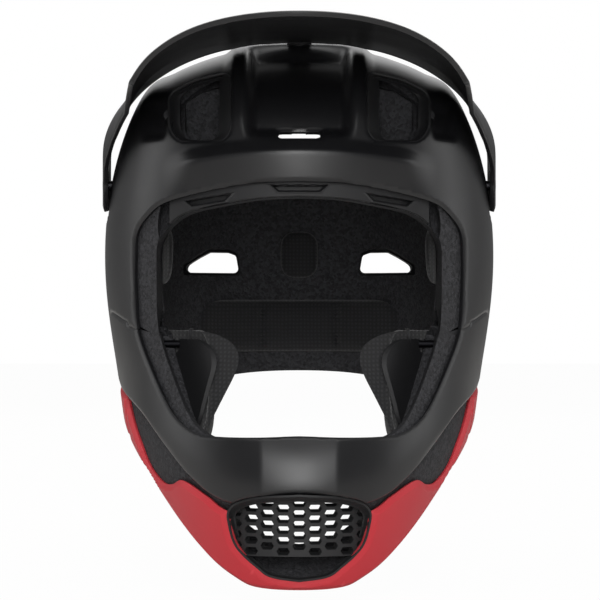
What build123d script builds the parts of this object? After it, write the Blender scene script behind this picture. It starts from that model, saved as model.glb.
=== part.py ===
from build123d import *
from math import cos, radians, sin
import os

os.makedirs("parts", exist_ok=True)

# Downhill full face helmet. Z is up, the face looks along -Y, X is towards the wearer's left.
# The origin is the centre of the head cavity, level with the eyes. Millimetres and degrees.

# Outer form of the shell
shell_half_width = 120.0
shell_front = 182.0
shell_rear = 140.0
shell_top = 158.0
chin_drop = 161.0
shell_wall = 3.2
crown_liner_wall = 29.0
chin_liner_wall = 20.0
overrun = 30.0
fit_gap = 0.3
seam_gap = 0.5
running_gap = 0.05
crown_round_power = 8

# Sections of the outer form, from the crown down to eye level:
# level, half width, front reach, rear reach and squareness
crown_shares = (
    (1.000, 0.140, 0.135, 0.210, 2.10),
    (0.988, 0.270, 0.215, 0.325, 2.15),
    (0.965, 0.410, 0.300, 0.430, 2.20),
    (0.925, 0.560, 0.390, 0.540, 2.30),
    (0.865, 0.705, 0.475, 0.650, 2.40),
    (0.785, 0.800, 0.560, 0.765, 2.35),
    (0.660, 0.885, 0.635, 0.880, 2.20),
    (0.500, 0.950, 0.675, 0.965, 2.08),
    (0.290, 0.993, 0.700, 1.000, 2.00),
    (0.000, 0.987, 0.731, 0.975, 2.00),
)
# The same, from eye level down past the chin
chin_shares = (
    (0.170, 0.955, 0.802, 0.920, 2.00),
    (0.335, 0.920, 0.880, 0.853, 2.00),
    (0.466, 0.893, 0.955, 0.790, 2.00),
    (0.600, 0.838, 1.000, 0.735, 2.00),
    (0.720, 0.765, 0.990, 0.680, 2.05),
    (0.830, 0.710, 0.955, 0.630, 2.10),
    (1.100, 0.620, 0.830, 0.520, 2.20),
)

# Face opening, half outline from the middle of the brow round to the middle of the chin
eyeport_half_width = 97.5
eyeport_rise = 67.6
eyeport_drop = 75.5
eyeport_shares = (
    (0.00, 1.000), (0.30, 0.980), (0.58, 0.918), (0.80, 0.843), (0.905, 0.745), (0.985, 0.590),
    (1.00, 0.370), (0.997, 0.050), (0.975, -0.250), (0.88, -0.545), (0.745, -0.845),
    (0.61, -0.975), (0.45, -1.0), (0.00, -0.985),
)
liner_port_half_width = 83.0
liner_port_rise = 58.5
liner_port_drop = 77.5
port_depth = 30.0

# Mouth opening in the chin, half outline from its top to its bottom, and the bezel inside it
mouth_half_width = 40.0
mouth_top = 104.8
mouth_height = 50.5
mouth_shares = (
    (0.00, 0.00), (0.55, 0.03), (0.86, 0.10), (1.00, 0.21), (0.99, 0.37), (0.92, 0.57),
    (0.80, 0.70), (0.60, 0.84), (0.40, 0.95), (0.00, 1.00),
)
mouth_bezel_wall = 2.0
mouth_bezel_depth = 17.0

# Seen from the side: how far forward and how far down, as shares of the front and the chin drop
crown_edge_shares = ((-0.85, -0.10), (-0.35, -0.235), (0.0, -0.315), (0.275, -0.348), (0.49, -0.404),
                     (0.65, -0.503), (0.755, -0.584), (0.865, -0.668), (1.06, -0.76))
blade_edge_shares = ((0.275, -0.348), (0.335, -0.430), (0.41, -0.522), (0.46, -0.605), (0.56, -0.655),
                     (0.65, -0.655), (0.735, -0.633), (0.83, -0.675), (0.89, -0.723), (1.06, -0.80))
rim_shares = ((-0.85, -0.235), (-0.33, -0.323), (0.0, -0.410), (0.385, -0.590), (0.63, -0.790),
              (0.80, -0.945), (0.87, -0.995), (1.06, -1.0))
chin_seam_shares = ((0.12, -0.36), (0.10, -0.20), (0.155, -0.055), (0.36, -0.080), (0.46, -0.112),
                    (1.2, -0.20))

# Front vents either side of the crown
vent_inner_x = 39.0
vent_width = 37.5
vent_low = 90.5
vent_height = 44.0
vent_shares = ((0.0, 0.14), (0.12, 0.0), (0.82, 0.02), (0.97, 0.22), (1.0, 0.76), (0.60, 0.95), (0.02, 1.06))
corner_round = 3.0
duct_margin = 4.5
duct_side_margin = 9.0
duct_foot_margin = 1.5
duct_top_margin = 10.0
vent_depth = 12.0
vent_start = 58.0
bezel_sink = 1.0

# Middle channel of the crown and the slot at its foot
channel_half_width = 27.5
channel_foot = 88.5
channel_height = 62.0
channel_depth = 7.0
channel_wall = 3.0
channel_start = 52.0
slot_half_width = 12.5
slot_height = 5.0
slot_lift = 3.5
slot_round = 1.5

# Rear vents
rear_vent_x = 38.5
rear_vent_width = 38.0
rear_vent_low = 16.0
rear_vent_height = 17.5
rear_vent_shares = ((0.0, 0.0), (0.06, 0.86), (0.22, 1.0), (0.56, 1.0), (0.74, 0.75), (1.0, 0.33),
                    (0.98, 0.0))
rear_start = 55.0
rear_sleeve_depth = 16.0
sleeve_wall = 1.6

# Exhaust port at the back of the crown, in line with the slot
exhaust_half_width = 17.0
exhaust_low = 103.0
exhaust_height = 13.5
exhaust_start = 25.0

# Brow trim between the shell edge and the liner
trim_reach = 76.0
trim_top_share = 0.7
trim_depth = 9.0
trim_low = 30.0
trim_slot_z = 63.2
side_slot_z = 57.5
side_slot_lean = 12.0
trim_slot_height = 3.6
trim_slot_half_width = 15.5
side_slot_centre = 50.0
side_slot_length = 22.0

# Visor and its hinge through the two side screws
hinge_y = -15.0
hinge_z = 70.0
wing_radius = 16.0
wing_out = 119.9
visor_wall = 3.4
wing_gap = 0.6
visor_front = 203.0
visor_height = 154.0
visor_corner_x = 94.0
visor_corner_back = 56.0
lip_side = 0.55
roof_half_width = 111.0
visor_up = 14.0
visor_down = 6.0
# Visor sections from front to back: reach forward, half width, height of the springing, top, squareness
visor_shares = (
    (1.060, 0.800, 0.640, 0.997, 2.45),
    (0.740, 0.829, 0.636, 0.998, 2.45),
    (0.443, 0.862, 0.623, 1.005, 2.30),
    (0.296, 0.925, 0.617, 1.012, 2.05),
    (0.185, 0.988, 0.571, 1.020, 2.00),
    (0.110, 1.000, 0.558, 1.030, 2.00),
    (0.020, 1.000, 0.558, 1.040, 2.00),
    (-0.080, 1.000, 0.558, 1.050, 2.00),
)
# Rear edge of the roof from above, from the side to the middle: how far across and how far forward
visor_rear_shares = ((0.937, 0.110), (0.793, 0.222), (0.540, 0.286), (0.000, 0.300))
# Lower edge of the visor from the side, as shares of the visor front and of its height
visor_edge_shares = ((1.06, 0.86), (0.75, 0.785), (0.48, 0.715), (0.30, 0.63), (0.215, 0.555))
visor_wing_rear = 4.0
wing_foot = 45.0
pocket_margin = 7.0
hole_margin = 0.5

# Screws and bushes of the visor
side_head_radius = 8.0
side_head_height = 1.7
side_shank_radius = 3.0
side_shank_length = 17.0
bush_radius = 6.5
bush_length = 11.0
bush_set_back = 7.0
grip_slot = 1.2
grip_length_share = 1.45
tongue_width = 14.0
tongue_radius = 94.0
tongue_wall = 4.0
tongue_front = 30.5
tongue_rear = 3.0
slot_spare = 2.2
slot_gap = 0.15
screw_lean = 10.0
centre_shank_radius = 2.0
centre_head_radius = 6.0
centre_head_height = 3.0
centre_shank_length = 15.0
boss_radius = 7.5
boss_root = 5.5

# Grille in the mouth opening
grille_radius = 72.0
grille_wall = 2.6
grille_height = 33.0
grille_front = 163.0
cell_pitch = 8.8
cell_rise = 5.9
cell_width = 7.0
cell_height = 4.2
cell_slant = 1.7
cell_first = 3.4

# Padding
pad_gap = 0.4
pad_taper = 6.0
block_depth = 60.0
band_pad = 8.0
band_half_width = 68.0
band_top = 1.0
band_height = 36.0
band_corner = 9.0
centre_pad_half_width = 13.0
centre_pad_low = 14.0
centre_pad_height = 32.0
centre_pad_corner = 8.0
centre_pad = 6.0
crown_pad_wall = 7.0
crown_pad_half_width = 30.0
crown_pad_floor = 78.0
crown_pad_front = 50.0
crown_pad_rear = 40.0
crown_pad_corner = 18.0
brow_pad_wall = 7.0
brow_pad_half_width = 58.0
brow_pad_low = 61.0
brow_pad_height = 20.0
brow_pad_corner = 7.0
brow_pad_start = 60.0
temple_pad = 6.0
temple_front = 44.0
temple_rear = 30.0
temple_low = 8.0
temple_height = 38.0
temple_corner = 12.0
cheek_plate_wall = 2.0
cheek_inner_x = 50.0
cheek_outer_x = 96.0
cheek_front = 116.0
cheek_length = 90.0
cheek_top = 18.0
cheek_height = 70.0
cheek_corner = 20.0
# Cushion sections from its head side outwards: place between its faces, and size
cheek_shares = ((0.0, 0.72), (0.09, 0.90), (0.30, 1.0), (1.0, 0.96))
plate_share = 0.86
plate_shift = 2.0
groove_gap = 0.5

# Chin strap of flat webbing and its two rings
web_width = 25.0
web_wall = 2.0
web_bend = 3.0
strap_y = -72.0
anchor_x = 63.5
anchor_z = -26.0
strap_end = 9.0
strap_side_x = 64.0
strap_knee_z = -62.0
strap_bend_x = 58.0
strap_bend_z = -91.0
strap_low_x = 32.0
strap_low_z = -106.0
strap_sag = 6.0
rivet_radius = 5.0
rivet_height = 2.0
rivet_shank = 2.2
rivet_end_x = 92.0
ring_wire = 1.7
ring_round_share = 0.4
ring_reach = 15.0
ring_bow = 5.5
ring_inside = 26.6
ring_x = -38.0
ring_z = -98.5
ring_lean = 15.0
ring_step = 4.4
loop_back = 5.6
loop_ahead = 4.9
loop_half_height = 6.6
loop_wall = 1.6
loop_corner = 3.0
web_lead = 30.0
web_below = 9.0
web_above = 8.0
web_cross = 7.2
web_turn = 4.0
web_tail = 9.0


def outer_section(level, width, front, rear, squareness):
    """One level of the form: four quarter curves that meet square to the axes."""
    share = 0.5 ** (1 / squareness)
    with BuildSketch(Plane.XY.offset(level)) as section:
        with BuildLine():
            Spline((width, 0), (width * share, rear * share), (0, rear), tangents=((0, 1), (-1, 0)))
            Spline((0, rear), (-width * share, rear * share), (-width, 0), tangents=((-1, 0), (0, -1)))
            Spline((-width, 0), (-width * share, -front * share), (0, -front), tangents=((0, -1), (1, 0)))
            Spline((0, -front), (width * share, -front * share), (width, 0), tangents=((1, 0), (0, 1)))
        make_face()
    return section.sketch


def outer_form(inset, crown_rows=crown_shares, chin_rows=chin_shares):
    """The solid inside the shell's outer skin, drawn in all round by the inset."""
    with BuildPart() as form:
        for level, width, front, rear, squareness in crown_rows:
            draw_in = inset * (1 - level ** crown_round_power)
            add(outer_section(level * (shell_top - inset), width * shell_half_width - draw_in,
                              front * shell_front - draw_in, rear * shell_rear - draw_in, squareness))
        for level, width, front, rear, squareness in chin_rows:
            add(outer_section(-level * chin_drop, width * shell_half_width - inset,
                              front * shell_front - inset, rear * shell_rear - inset, squareness))
        loft()
    return form.part


def side_points(shares):
    """Places in the side view, from shares of the front reach and the chin drop."""
    return [(-forward * shell_front, level * chin_drop) for forward, level in shares]


def below_curve(points, drop):
    """Everything below a curve of the side view."""
    with BuildPart() as region:
        with BuildSketch(Plane.YZ):
            with BuildLine():
                curve = Spline(*points)
                Polyline(curve @ 1, ((curve @ 1).X, -drop), ((curve @ 0).X, -drop), curve @ 0)
            make_face()
        extrude(amount=shell_half_width + overrun, both=True)
    return region.part


def half_outline(shares, width, high, low):
    """Right half of a front view outline, from shares of its half width, rise and drop."""
    return [(across * width, up * (high if up > 0 else low)) for across, up in shares]


def front_prism(points, start, reach):
    """A front view outline, mirrored about the middle and carried forward from the start."""
    with BuildPart() as prism:
        with BuildSketch(Plane.XZ.offset(start)):
            with BuildLine() as outline:
                Spline(*points, tangents=((1, 0), (-1, 0)))
                mirror(about=Plane.YZ)
            make_face()
        extrude(amount=reach)
    return prism.part


def polygon_prism(points, corner, start, reach):
    """A rounded polygon of the front view, carried forward from the start."""
    with BuildPart() as prism:
        with BuildSketch(Plane.XZ.offset(start)) as outline:
            Polygon(*points, align=None)
            fillet(outline.vertices(), corner)
        extrude(amount=reach)
    return prism.part


def both_sides(part):
    """A part and its mirror image."""
    with BuildPart() as pair:
        add(part)
        mirror(about=Plane.YZ)
    return pair.part


# Shared forms and cutters
liner_out = shell_wall + fit_gap
crown_in = liner_out + crown_liner_wall
chin_in = liner_out + chin_liner_wall
far_down = chin_drop + 3 * overrun
skin_outside = outer_form(0)
skin_inside = outer_form(shell_wall)
liner_outside = outer_form(liner_out)
crown_cavity = outer_form(crown_in)
chin_cavity = outer_form(chin_in)

crown_edge = side_points(crown_edge_shares)
blade_edge = side_points(blade_edge_shares)
rim_edge = side_points(rim_shares)
chin_seam = side_points(chin_seam_shares)
below_crown_edge = below_curve(crown_edge, far_down)
below_rim = below_curve(rim_edge, far_down)
below_liner_rim = below_curve([(y, z + seam_gap) for y, z in rim_edge], far_down)
chin_region = below_curve(chin_seam, far_down)
chin_region_wide = below_curve([(y + seam_gap, z + seam_gap) for y, z in chin_seam], far_down)
red_edge = [(y, z - seam_gap) for y, z in crown_edge[:4]]
below_red_edge = below_curve(red_edge, far_down)
below_blade_edge = below_curve([red_edge[-1]] + blade_edge[1:], far_down)

port_reach = shell_front + overrun - port_depth
eyeport = front_prism(half_outline(eyeport_shares, eyeport_half_width, eyeport_rise, eyeport_drop),
                      port_depth, port_reach)
liner_port = front_prism(half_outline(eyeport_shares, liner_port_half_width, liner_port_rise,
                                      liner_port_drop), port_depth, port_reach)


def mouth_prism(draw_in):
    """The mouth opening, drawn in all round."""
    points = []
    for across, down in mouth_shares:
        points.append((across * (mouth_half_width - draw_in),
                       -mouth_top - draw_in - down * (mouth_height - 2 * draw_in)))
    return front_prism(points, shell_front / 2, shell_front / 2 + overrun)


mouth = mouth_prism(0)


def vent_prism(low, side, top, draw_in):
    """One front vent's outline drawn in from its foot, its outer side, its top and its inner side."""
    points = []
    for across, up in vent_shares:
        points.append((vent_inner_x + draw_in + across * (vent_width - side - draw_in),
                       vent_low + low + up * (vent_height - top - low)))
    return polygon_prism(points, corner_round, vent_start, shell_front + overrun - vent_start)


def rear_vent_prism(draw_in):
    """One rear vent's outline, carried backward through the liner and the shell."""
    points = []
    for across, up in rear_vent_shares:
        points.append((rear_vent_x + draw_in + across * (rear_vent_width - 2 * draw_in),
                       rear_vent_low + draw_in + up * (rear_vent_height - 2 * draw_in)))
    return polygon_prism(points, corner_round, -rear_start, -(shell_rear + overrun - rear_start))


def channel_prism(draw_in):
    """The outline of the crown's middle channel."""
    half = channel_half_width - draw_in
    foot = channel_foot + draw_in
    head = channel_foot + channel_height - draw_in
    points = [(-half, foot), (half, foot), (half, head), (-half, head)]
    return polygon_prism(points, corner_round, channel_start, shell_front + overrun - channel_start)


def slot_prism(margin):
    """The air slot at the channel's foot."""
    half = slot_half_width + margin
    low = channel_foot + slot_lift - margin
    high = channel_foot + slot_lift + slot_height + margin
    points = [(-half, low), (half, low), (half, high), (-half, high)]
    return polygon_prism(points, slot_round, channel_start, shell_front + overrun - channel_start)


def exhaust_prism():
    """The exhaust port's outline, carried backward through the liner and the shell."""
    high = exhaust_low + exhaust_height
    points = [(-exhaust_half_width, exhaust_low), (exhaust_half_width, exhaust_low),
              (exhaust_half_width, high), (-exhaust_half_width, high)]
    return polygon_prism(points, corner_round, -exhaust_start, -(shell_rear + overrun - exhaust_start))


vents = both_sides(vent_prism(0, 0, 0, 0))
ducts = both_sides(vent_prism(duct_foot_margin, duct_side_margin, duct_top_margin, duct_margin))
rear_vents = both_sides(rear_vent_prism(0)) + exhaust_prism()
channel = channel_prism(0)

# Planes of the side screws and of the middle screw
hinge_plane = Plane(origin=(0, hinge_y, hinge_z), x_dir=(0, 1, 0), z_dir=(1, 0, 0))
lean = radians(screw_lean)
screw_plane = Plane(origin=(0, hinge_y, hinge_z), x_dir=(1, 0, 0), z_dir=(0, -sin(lean), cos(lean)))
wing_in = wing_out - visor_wall
pocket_x = wing_in - wing_gap
bush_out = pocket_x - bush_set_back
head_in = wing_out - side_head_height


def side_disc(near, far, radius):
    """A round bar along both hinge pins' line, on the wearer's left."""
    with BuildPart() as bar:
        with BuildSketch(hinge_plane.offset(near)):
            Circle(radius)
        extrude(amount=far - near)
    return bar.part


def screw_bar(near, far, radius):
    """A round bar on the middle screw's axis, by its distance from the hinge line."""
    with BuildPart() as bar:
        with BuildSketch(screw_plane.offset(near)):
            Circle(radius)
        extrude(amount=far - near)
    return bar.part


# Black crown of the shell
with BuildPart() as crown_shell:
    add(skin_outside)
    add(skin_inside, mode=Mode.SUBTRACT)
    add(chin_region_wide, mode=Mode.SUBTRACT)
    add(below_crown_edge, mode=Mode.SUBTRACT)
    add(eyeport, mode=Mode.SUBTRACT)
    add(vents, mode=Mode.SUBTRACT)
    add(rear_vents, mode=Mode.SUBTRACT)
    add(channel, mode=Mode.SUBTRACT)
    # Tray of the middle channel, with its walls
    add((channel - channel_prism(channel_wall)) & (skin_outside - outer_form(channel_depth + channel_wall)))
    add(channel & (outer_form(channel_depth) - outer_form(channel_depth + channel_wall)))
    add(slot_prism(0), mode=Mode.SUBTRACT)
    # Shallow seats for the visor's wings, and the hole for each side screw
    pocket = side_disc(pocket_x, pocket_x + overrun, wing_radius + pocket_margin)
    add(both_sides(pocket), mode=Mode.SUBTRACT)
    screw_hole = side_disc(pocket_x - overrun, pocket_x + overrun, side_shank_radius + hole_margin)
    add(both_sides(screw_hole), mode=Mode.SUBTRACT)
    # Boss under the visor's tongue
    add(screw_bar(tongue_radius - boss_root, tongue_radius - 2 * fit_gap, boss_radius))
    add(screw_bar(tongue_radius - overrun, tongue_radius, centre_shank_radius + running_gap),
        mode=Mode.SUBTRACT)
crown_shell.part.label = "crown_shell"
export_step(crown_shell.part, "parts/crown_shell.step")

# Black upper half of the chin bar
with BuildPart() as chin_bar:
    add(chin_region)
    add(below_crown_edge, mode=Mode.SUBTRACT)
    add(mouth, mode=Mode.SUBTRACT)
    add(eyeport, mode=Mode.SUBTRACT)
    add(skin_outside - skin_inside, mode=Mode.INTERSECT)
chin_bar.part.label = "chin_bar"
export_step(chin_bar.part, "parts/chin_bar.step")

# Red lower shell, from the mouth round the jaw to the nape
with BuildPart() as lower_shell:
    add(skin_outside)
    add(skin_inside, mode=Mode.SUBTRACT)
    add(below_red_edge + below_blade_edge, mode=Mode.INTERSECT)
    add(below_rim, mode=Mode.SUBTRACT)
    add(mouth, mode=Mode.SUBTRACT)
lower_shell.part.label = "lower_shell"
export_step(lower_shell.part, "parts/lower_shell.step")

# Foam liner of the crown
trim_in = liner_out + trim_depth
trim_top_x = trim_reach * trim_top_share
brow_slice = front_prism([(0, eyeport_rise + overrun), (trim_top_x, eyeport_rise + overrun),
                          (trim_reach, eyeport_rise), (trim_reach, trim_low), (trim_top_x, trim_low),
                          (0, trim_low)], port_depth, port_reach)
with BuildPart() as crown_liner:
    add(liner_outside)
    add(crown_cavity, mode=Mode.SUBTRACT)
    add(chin_region_wide, mode=Mode.SUBTRACT)
    add(below_liner_rim, mode=Mode.SUBTRACT)
    add(liner_port, mode=Mode.SUBTRACT)
    # Room for the brow trim, the vent bezels and the channel tray
    add((eyeport & brow_slice) - outer_form(trim_in + fit_gap), mode=Mode.SUBTRACT)
    add(vents - outer_form(vent_depth + fit_gap), mode=Mode.SUBTRACT)
    add(ducts, mode=Mode.SUBTRACT)
    add(rear_vents, mode=Mode.SUBTRACT)
    add(channel_prism(-fit_gap) - outer_form(channel_depth + channel_wall + fit_gap), mode=Mode.SUBTRACT)
    add(slot_prism(fit_gap), mode=Mode.SUBTRACT)
    # Seats of the bushes and of the middle screw's end
    bush_seat = side_disc(bush_out - bush_length - overrun, bush_out + overrun, bush_radius + fit_gap)
    add(both_sides(bush_seat), mode=Mode.SUBTRACT)
    add(screw_bar(tongue_radius - overrun / 2, tongue_radius, centre_shank_radius + hole_margin),
        mode=Mode.SUBTRACT)
crown_liner.part.label = "crown_liner"
export_step(crown_liner.part, "parts/crown_liner.step")

# Foam liner of the chin bar and the cheeks
rivet_plane = Plane(origin=(0, strap_y, anchor_z), x_dir=(0, 1, 0), z_dir=(1, 0, 0))


def rivet_bar(near, far, radius):
    """A round bar on the strap rivet's axis, on the wearer's left."""
    with BuildPart() as bar:
        with BuildSketch(rivet_plane.offset(near)):
            Circle(radius)
        extrude(amount=far - near)
    return bar.part


with BuildPart() as chin_liner:
    add(liner_outside)
    add(chin_cavity, mode=Mode.SUBTRACT)
    add(chin_region, mode=Mode.INTERSECT)
    add(below_liner_rim, mode=Mode.SUBTRACT)
    add(liner_port, mode=Mode.SUBTRACT)
    add(mouth, mode=Mode.SUBTRACT)
    add(both_sides(rivet_bar(anchor_x - overrun, anchor_x + overrun, rivet_shank + fit_gap)),
        mode=Mode.SUBTRACT)
chin_liner.part.label = "chin_liner"
export_step(chin_liner.part, "parts/chin_liner.step")

# Trim along the brow, with its three air slots
with BuildPart() as brow_trim:
    add(outer_form(liner_out))
    add(outer_form(trim_in), mode=Mode.SUBTRACT)
    add(front_prism(half_outline(eyeport_shares, eyeport_half_width - fit_gap, eyeport_rise - fit_gap,
                                 eyeport_drop), port_depth, port_reach), mode=Mode.INTERSECT)
    add(brow_slice, mode=Mode.INTERSECT)
    add(liner_port, mode=Mode.SUBTRACT)
    with BuildSketch(Plane.XZ.offset(port_depth)):
        with Locations((0, trim_slot_z)):
            SlotOverall(2 * trim_slot_half_width, trim_slot_height)
        for side in (-1, 1):
            with Locations(Location((side * side_slot_centre, side_slot_z), side * -side_slot_lean)):
                SlotOverall(side_slot_length, trim_slot_height)
    extrude(amount=port_reach, mode=Mode.SUBTRACT)
brow_trim.part.label = "brow_trim"
export_step(brow_trim.part, "parts/brow_trim.step")

# Bezels that line the two front vents
bezel_layer = outer_form(bezel_sink) - outer_form(vent_depth)
bezel_outline = vent_prism(fit_gap, fit_gap, fit_gap, fit_gap)
duct = vent_prism(duct_foot_margin, duct_side_margin, duct_top_margin, duct_margin)
with BuildPart() as vent_bezel_left:
    add(bezel_layer)
    add(bezel_outline, mode=Mode.INTERSECT)
    add(duct, mode=Mode.SUBTRACT)
vent_bezel_left.part.label = "vent_bezel_left"
export_step(vent_bezel_left.part, "parts/vent_bezel_left.step")
with BuildPart() as vent_bezel_right:
    add(vent_bezel_left.part.mirror(Plane.YZ))
vent_bezel_right.part.label = "vent_bezel_right"
export_step(vent_bezel_right.part, "parts/vent_bezel_right.step")

# Sleeves that line the two rear vents, from the shell into the liner
rear_layer = outer_form(bezel_sink) - outer_form(rear_sleeve_depth)
with BuildPart() as rear_vent_sleeves:
    add(rear_layer)
    add(both_sides(rear_vent_prism(fit_gap)), mode=Mode.INTERSECT)
    add(both_sides(rear_vent_prism(fit_gap + sleeve_wall)), mode=Mode.SUBTRACT)
rear_vent_sleeves.part.label = "rear_vent_sleeves"
export_step(rear_vent_sleeves.part, "parts/rear_vent_sleeves.step")

# Bezel round the mouth opening
with BuildPart() as mouth_bezel:
    add(outer_form(liner_out))
    add(outer_form(liner_out + mouth_bezel_depth), mode=Mode.SUBTRACT)
    add(mouth_prism(fit_gap), mode=Mode.INTERSECT)
    add(mouth_prism(fit_gap + mouth_bezel_wall), mode=Mode.SUBTRACT)
mouth_bezel.part.label = "mouth_bezel"
export_step(mouth_bezel.part, "parts/mouth_bezel.step")

# Grille: a curved plate with slanting six-sided cells, odd columns half a cell lower
grille_half_width = mouth_half_width - 2 * fit_gap - mouth_bezel_wall
grille_top = -mouth_top - 2 * fit_gap - mouth_bezel_wall
grille_centre = grille_radius - grille_front
cell_columns = int((grille_half_width - cell_width / 2) / cell_pitch)
cell_rows = int((grille_height - cell_first) / cell_rise)
with BuildPart() as chin_grille:
    with BuildSketch(Plane.XY.offset(grille_top - grille_height)):
        with Locations((0, grille_centre)):
            Circle(grille_radius)
            Circle(grille_radius - grille_wall, mode=Mode.SUBTRACT)
        with Locations((0, -grille_front)):
            Rectangle(2 * grille_half_width, grille_radius, mode=Mode.INTERSECT)
    extrude(amount=grille_height)
    add(mouth_prism(2 * fit_gap + mouth_bezel_wall), mode=Mode.INTERSECT)
    with BuildSketch(Plane.XZ.offset(grille_front - grille_radius / 2)):
        for column in range(-cell_columns, cell_columns + 1):
            offset_down = cell_first + (cell_rise / 2 if column % 2 else 0)
            for row in range(cell_rows):
                with Locations((column * cell_pitch, grille_top - offset_down - row * cell_rise)):
                    Polygon((-cell_width / 2, 0), (-cell_width / 2 + cell_slant, cell_height / 2),
                            (cell_width / 2 - cell_slant, cell_height / 2), (cell_width / 2, 0),
                            (cell_width / 2 - cell_slant, -cell_height / 2),
                            (-cell_width / 2 + cell_slant, -cell_height / 2), align=None)
    extrude(amount=grille_radius, mode=Mode.SUBTRACT)
chin_grille.part.label = "chin_grille"
export_step(chin_grille.part, "parts/chin_grille.step")


def arch_form(draw_in, spare):
    """The solid under the visor's arch, drawn in for its underside and longer by the spare."""
    last = len(visor_shares) - 1
    with BuildPart() as form:
        for place, (reach, width_share, spring_share, top_share, squareness) in enumerate(visor_shares):
            share = 0.5 ** (1 / squareness)
            end = {0: spare, last: -spare}.get(place, 0)
            foot = wing_foot - spare
            width = width_share * wing_out - draw_in
            spring = spring_share * visor_height
            top = top_share * visor_height - draw_in
            with BuildSketch(Plane.XZ.offset(reach * visor_front + end)):
                with BuildLine():
                    Polyline((-width, spring), (-width, foot), (width, foot), (width, spring))
                    shoulder = spring + (top - spring) * share
                    Spline((width, spring), (width * share, shoulder), (0, top),
                           tangents=((0, 1), (-1, 0)))
                    Spline((0, top), (-width * share, shoulder), (-width, spring),
                           tangents=((-1, 0), (0, -1)))
                make_face()
        loft(ruled=True)
    return form.part


# Visor: an arched sheet cut to its outline from the side and from above, with a slotted tongue
with BuildPart() as visor:
    add(arch_form(0, 0))
    add(arch_form(visor_wall, visor_wall), mode=Mode.SUBTRACT)
    # Outline from the side: front edge, lower edge and the round ends of the wings
    with BuildSketch(Plane.YZ) as side_outline:
        with BuildLine():
            edge = Spline(*[(-reach * visor_front, level * visor_height)
                            for reach, level in visor_edge_shares])
            wing_front = (hinge_y - wing_radius, hinge_z)
            wing_back = (hinge_y + wing_radius, hinge_z)
            Line(edge @ 1, wing_front)
            ThreePointArc(wing_front, (hinge_y, hinge_z - wing_radius), wing_back)
            Polyline(wing_back, (visor_wing_rear, visor_height), (visor_wing_rear, visor_height + overrun),
                     ((edge @ 0).X, visor_height + overrun), edge @ 0)
        make_face()
    extrude(amount=shell_half_width + overrun, both=True, mode=Mode.INTERSECT)
    # Outline from above: the bowed front lip and the hollow rear edge
    with BuildSketch(Plane.XY) as top_outline:
        with BuildLine():
            corner = (visor_corner_x, visor_corner_back - visor_front)
            lip = Spline((-corner[0], corner[1]), (0, -visor_front), corner,
                         tangents=((lip_side, -1), (lip_side, 1)))
            Polyline(corner, (shell_half_width + overrun, corner[1]),
                     (shell_half_width + overrun, visor_wing_rear), (roof_half_width, visor_wing_rear))
            rear_half = [(roof_half_width, visor_wing_rear)]
            rear_half += [(across * roof_half_width, -forward * visor_front)
                          for across, forward in visor_rear_shares]
            Spline(*rear_half, *[(-x, y) for x, y in rear_half[-2::-1]])
            Polyline((-roof_half_width, visor_wing_rear), (-shell_half_width - overrun, visor_wing_rear),
                     (-shell_half_width - overrun, corner[1]), (-corner[0], corner[1]))
        make_face()
    extrude(amount=visor_height + 2 * overrun, mode=Mode.INTERSECT)
    # Tongue that runs back over the crown, on an arc about the hinge line
    tongue_start = Plane(origin=(0, hinge_y, hinge_z), x_dir=(1, 0, 0), z_dir=(0, -1, 0)).rotated(
        (tongue_front, 0, 0))
    with BuildSketch(tongue_start):
        with Locations((0, tongue_radius + tongue_wall / 2)):
            Rectangle(tongue_width, tongue_wall)
    hinge_line = Axis((0, hinge_y, hinge_z), (1, 0, 0))
    revolve(axis=hinge_line, revolution_arc=-(tongue_front + tongue_rear))
    # Slot that slides past the middle screw as the visor tilts
    slot_start = Plane(origin=(0, hinge_y, hinge_z), x_dir=(1, 0, 0), z_dir=(0, -1, 0)).rotated(
        (screw_lean + visor_up + slot_spare, 0, 0))
    with BuildSketch(slot_start):
        with Locations((0, tongue_radius + tongue_wall / 2)):
            Rectangle(2 * (centre_shank_radius + slot_gap), 2 * tongue_wall)
    revolve(axis=hinge_line, revolution_arc=-(visor_up + visor_down + 2 * slot_spare), mode=Mode.SUBTRACT)
    # Hole and sunk seat for each side screw
    add(both_sides(side_disc(wing_in - overrun, wing_out + overrun, side_shank_radius + running_gap)),
        mode=Mode.SUBTRACT)
    add(both_sides(side_disc(head_in - running_gap, wing_out + overrun, side_head_radius + fit_gap)),
        mode=Mode.SUBTRACT)
visor.part.label = "visor"
export_step(visor.part, "parts/visor.step")


# Side screws: a flat head with a coin slot, and a plain shank
with BuildPart() as visor_screw_left:
    add(side_disc(head_in, wing_out, side_head_radius))
    add(side_disc(head_in - side_shank_length, head_in, side_shank_radius))
    with BuildSketch(hinge_plane.offset(wing_out)):
        Rectangle(grip_slot, side_head_radius * grip_length_share)
    extrude(amount=-side_head_height / 2, mode=Mode.SUBTRACT)
visor_screw_left.part.label = "visor_screw_left"
export_step(visor_screw_left.part, "parts/visor_screw_left.step")
with BuildPart() as visor_screw_right:
    add(visor_screw_left.part.mirror(Plane.YZ))
visor_screw_right.part.label = "visor_screw_right"
export_step(visor_screw_right.part, "parts/visor_screw_right.step")

# Bushes that the side screws turn in
with BuildPart() as visor_bushes:
    add(both_sides(side_disc(bush_out - bush_length, bush_out, bush_radius)))
    add(both_sides(side_disc(bush_out - bush_length - overrun, bush_out + overrun,
                             side_shank_radius + running_gap)), mode=Mode.SUBTRACT)
visor_bushes.part.label = "visor_bushes"
export_step(visor_bushes.part, "parts/visor_bushes.step")

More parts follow.
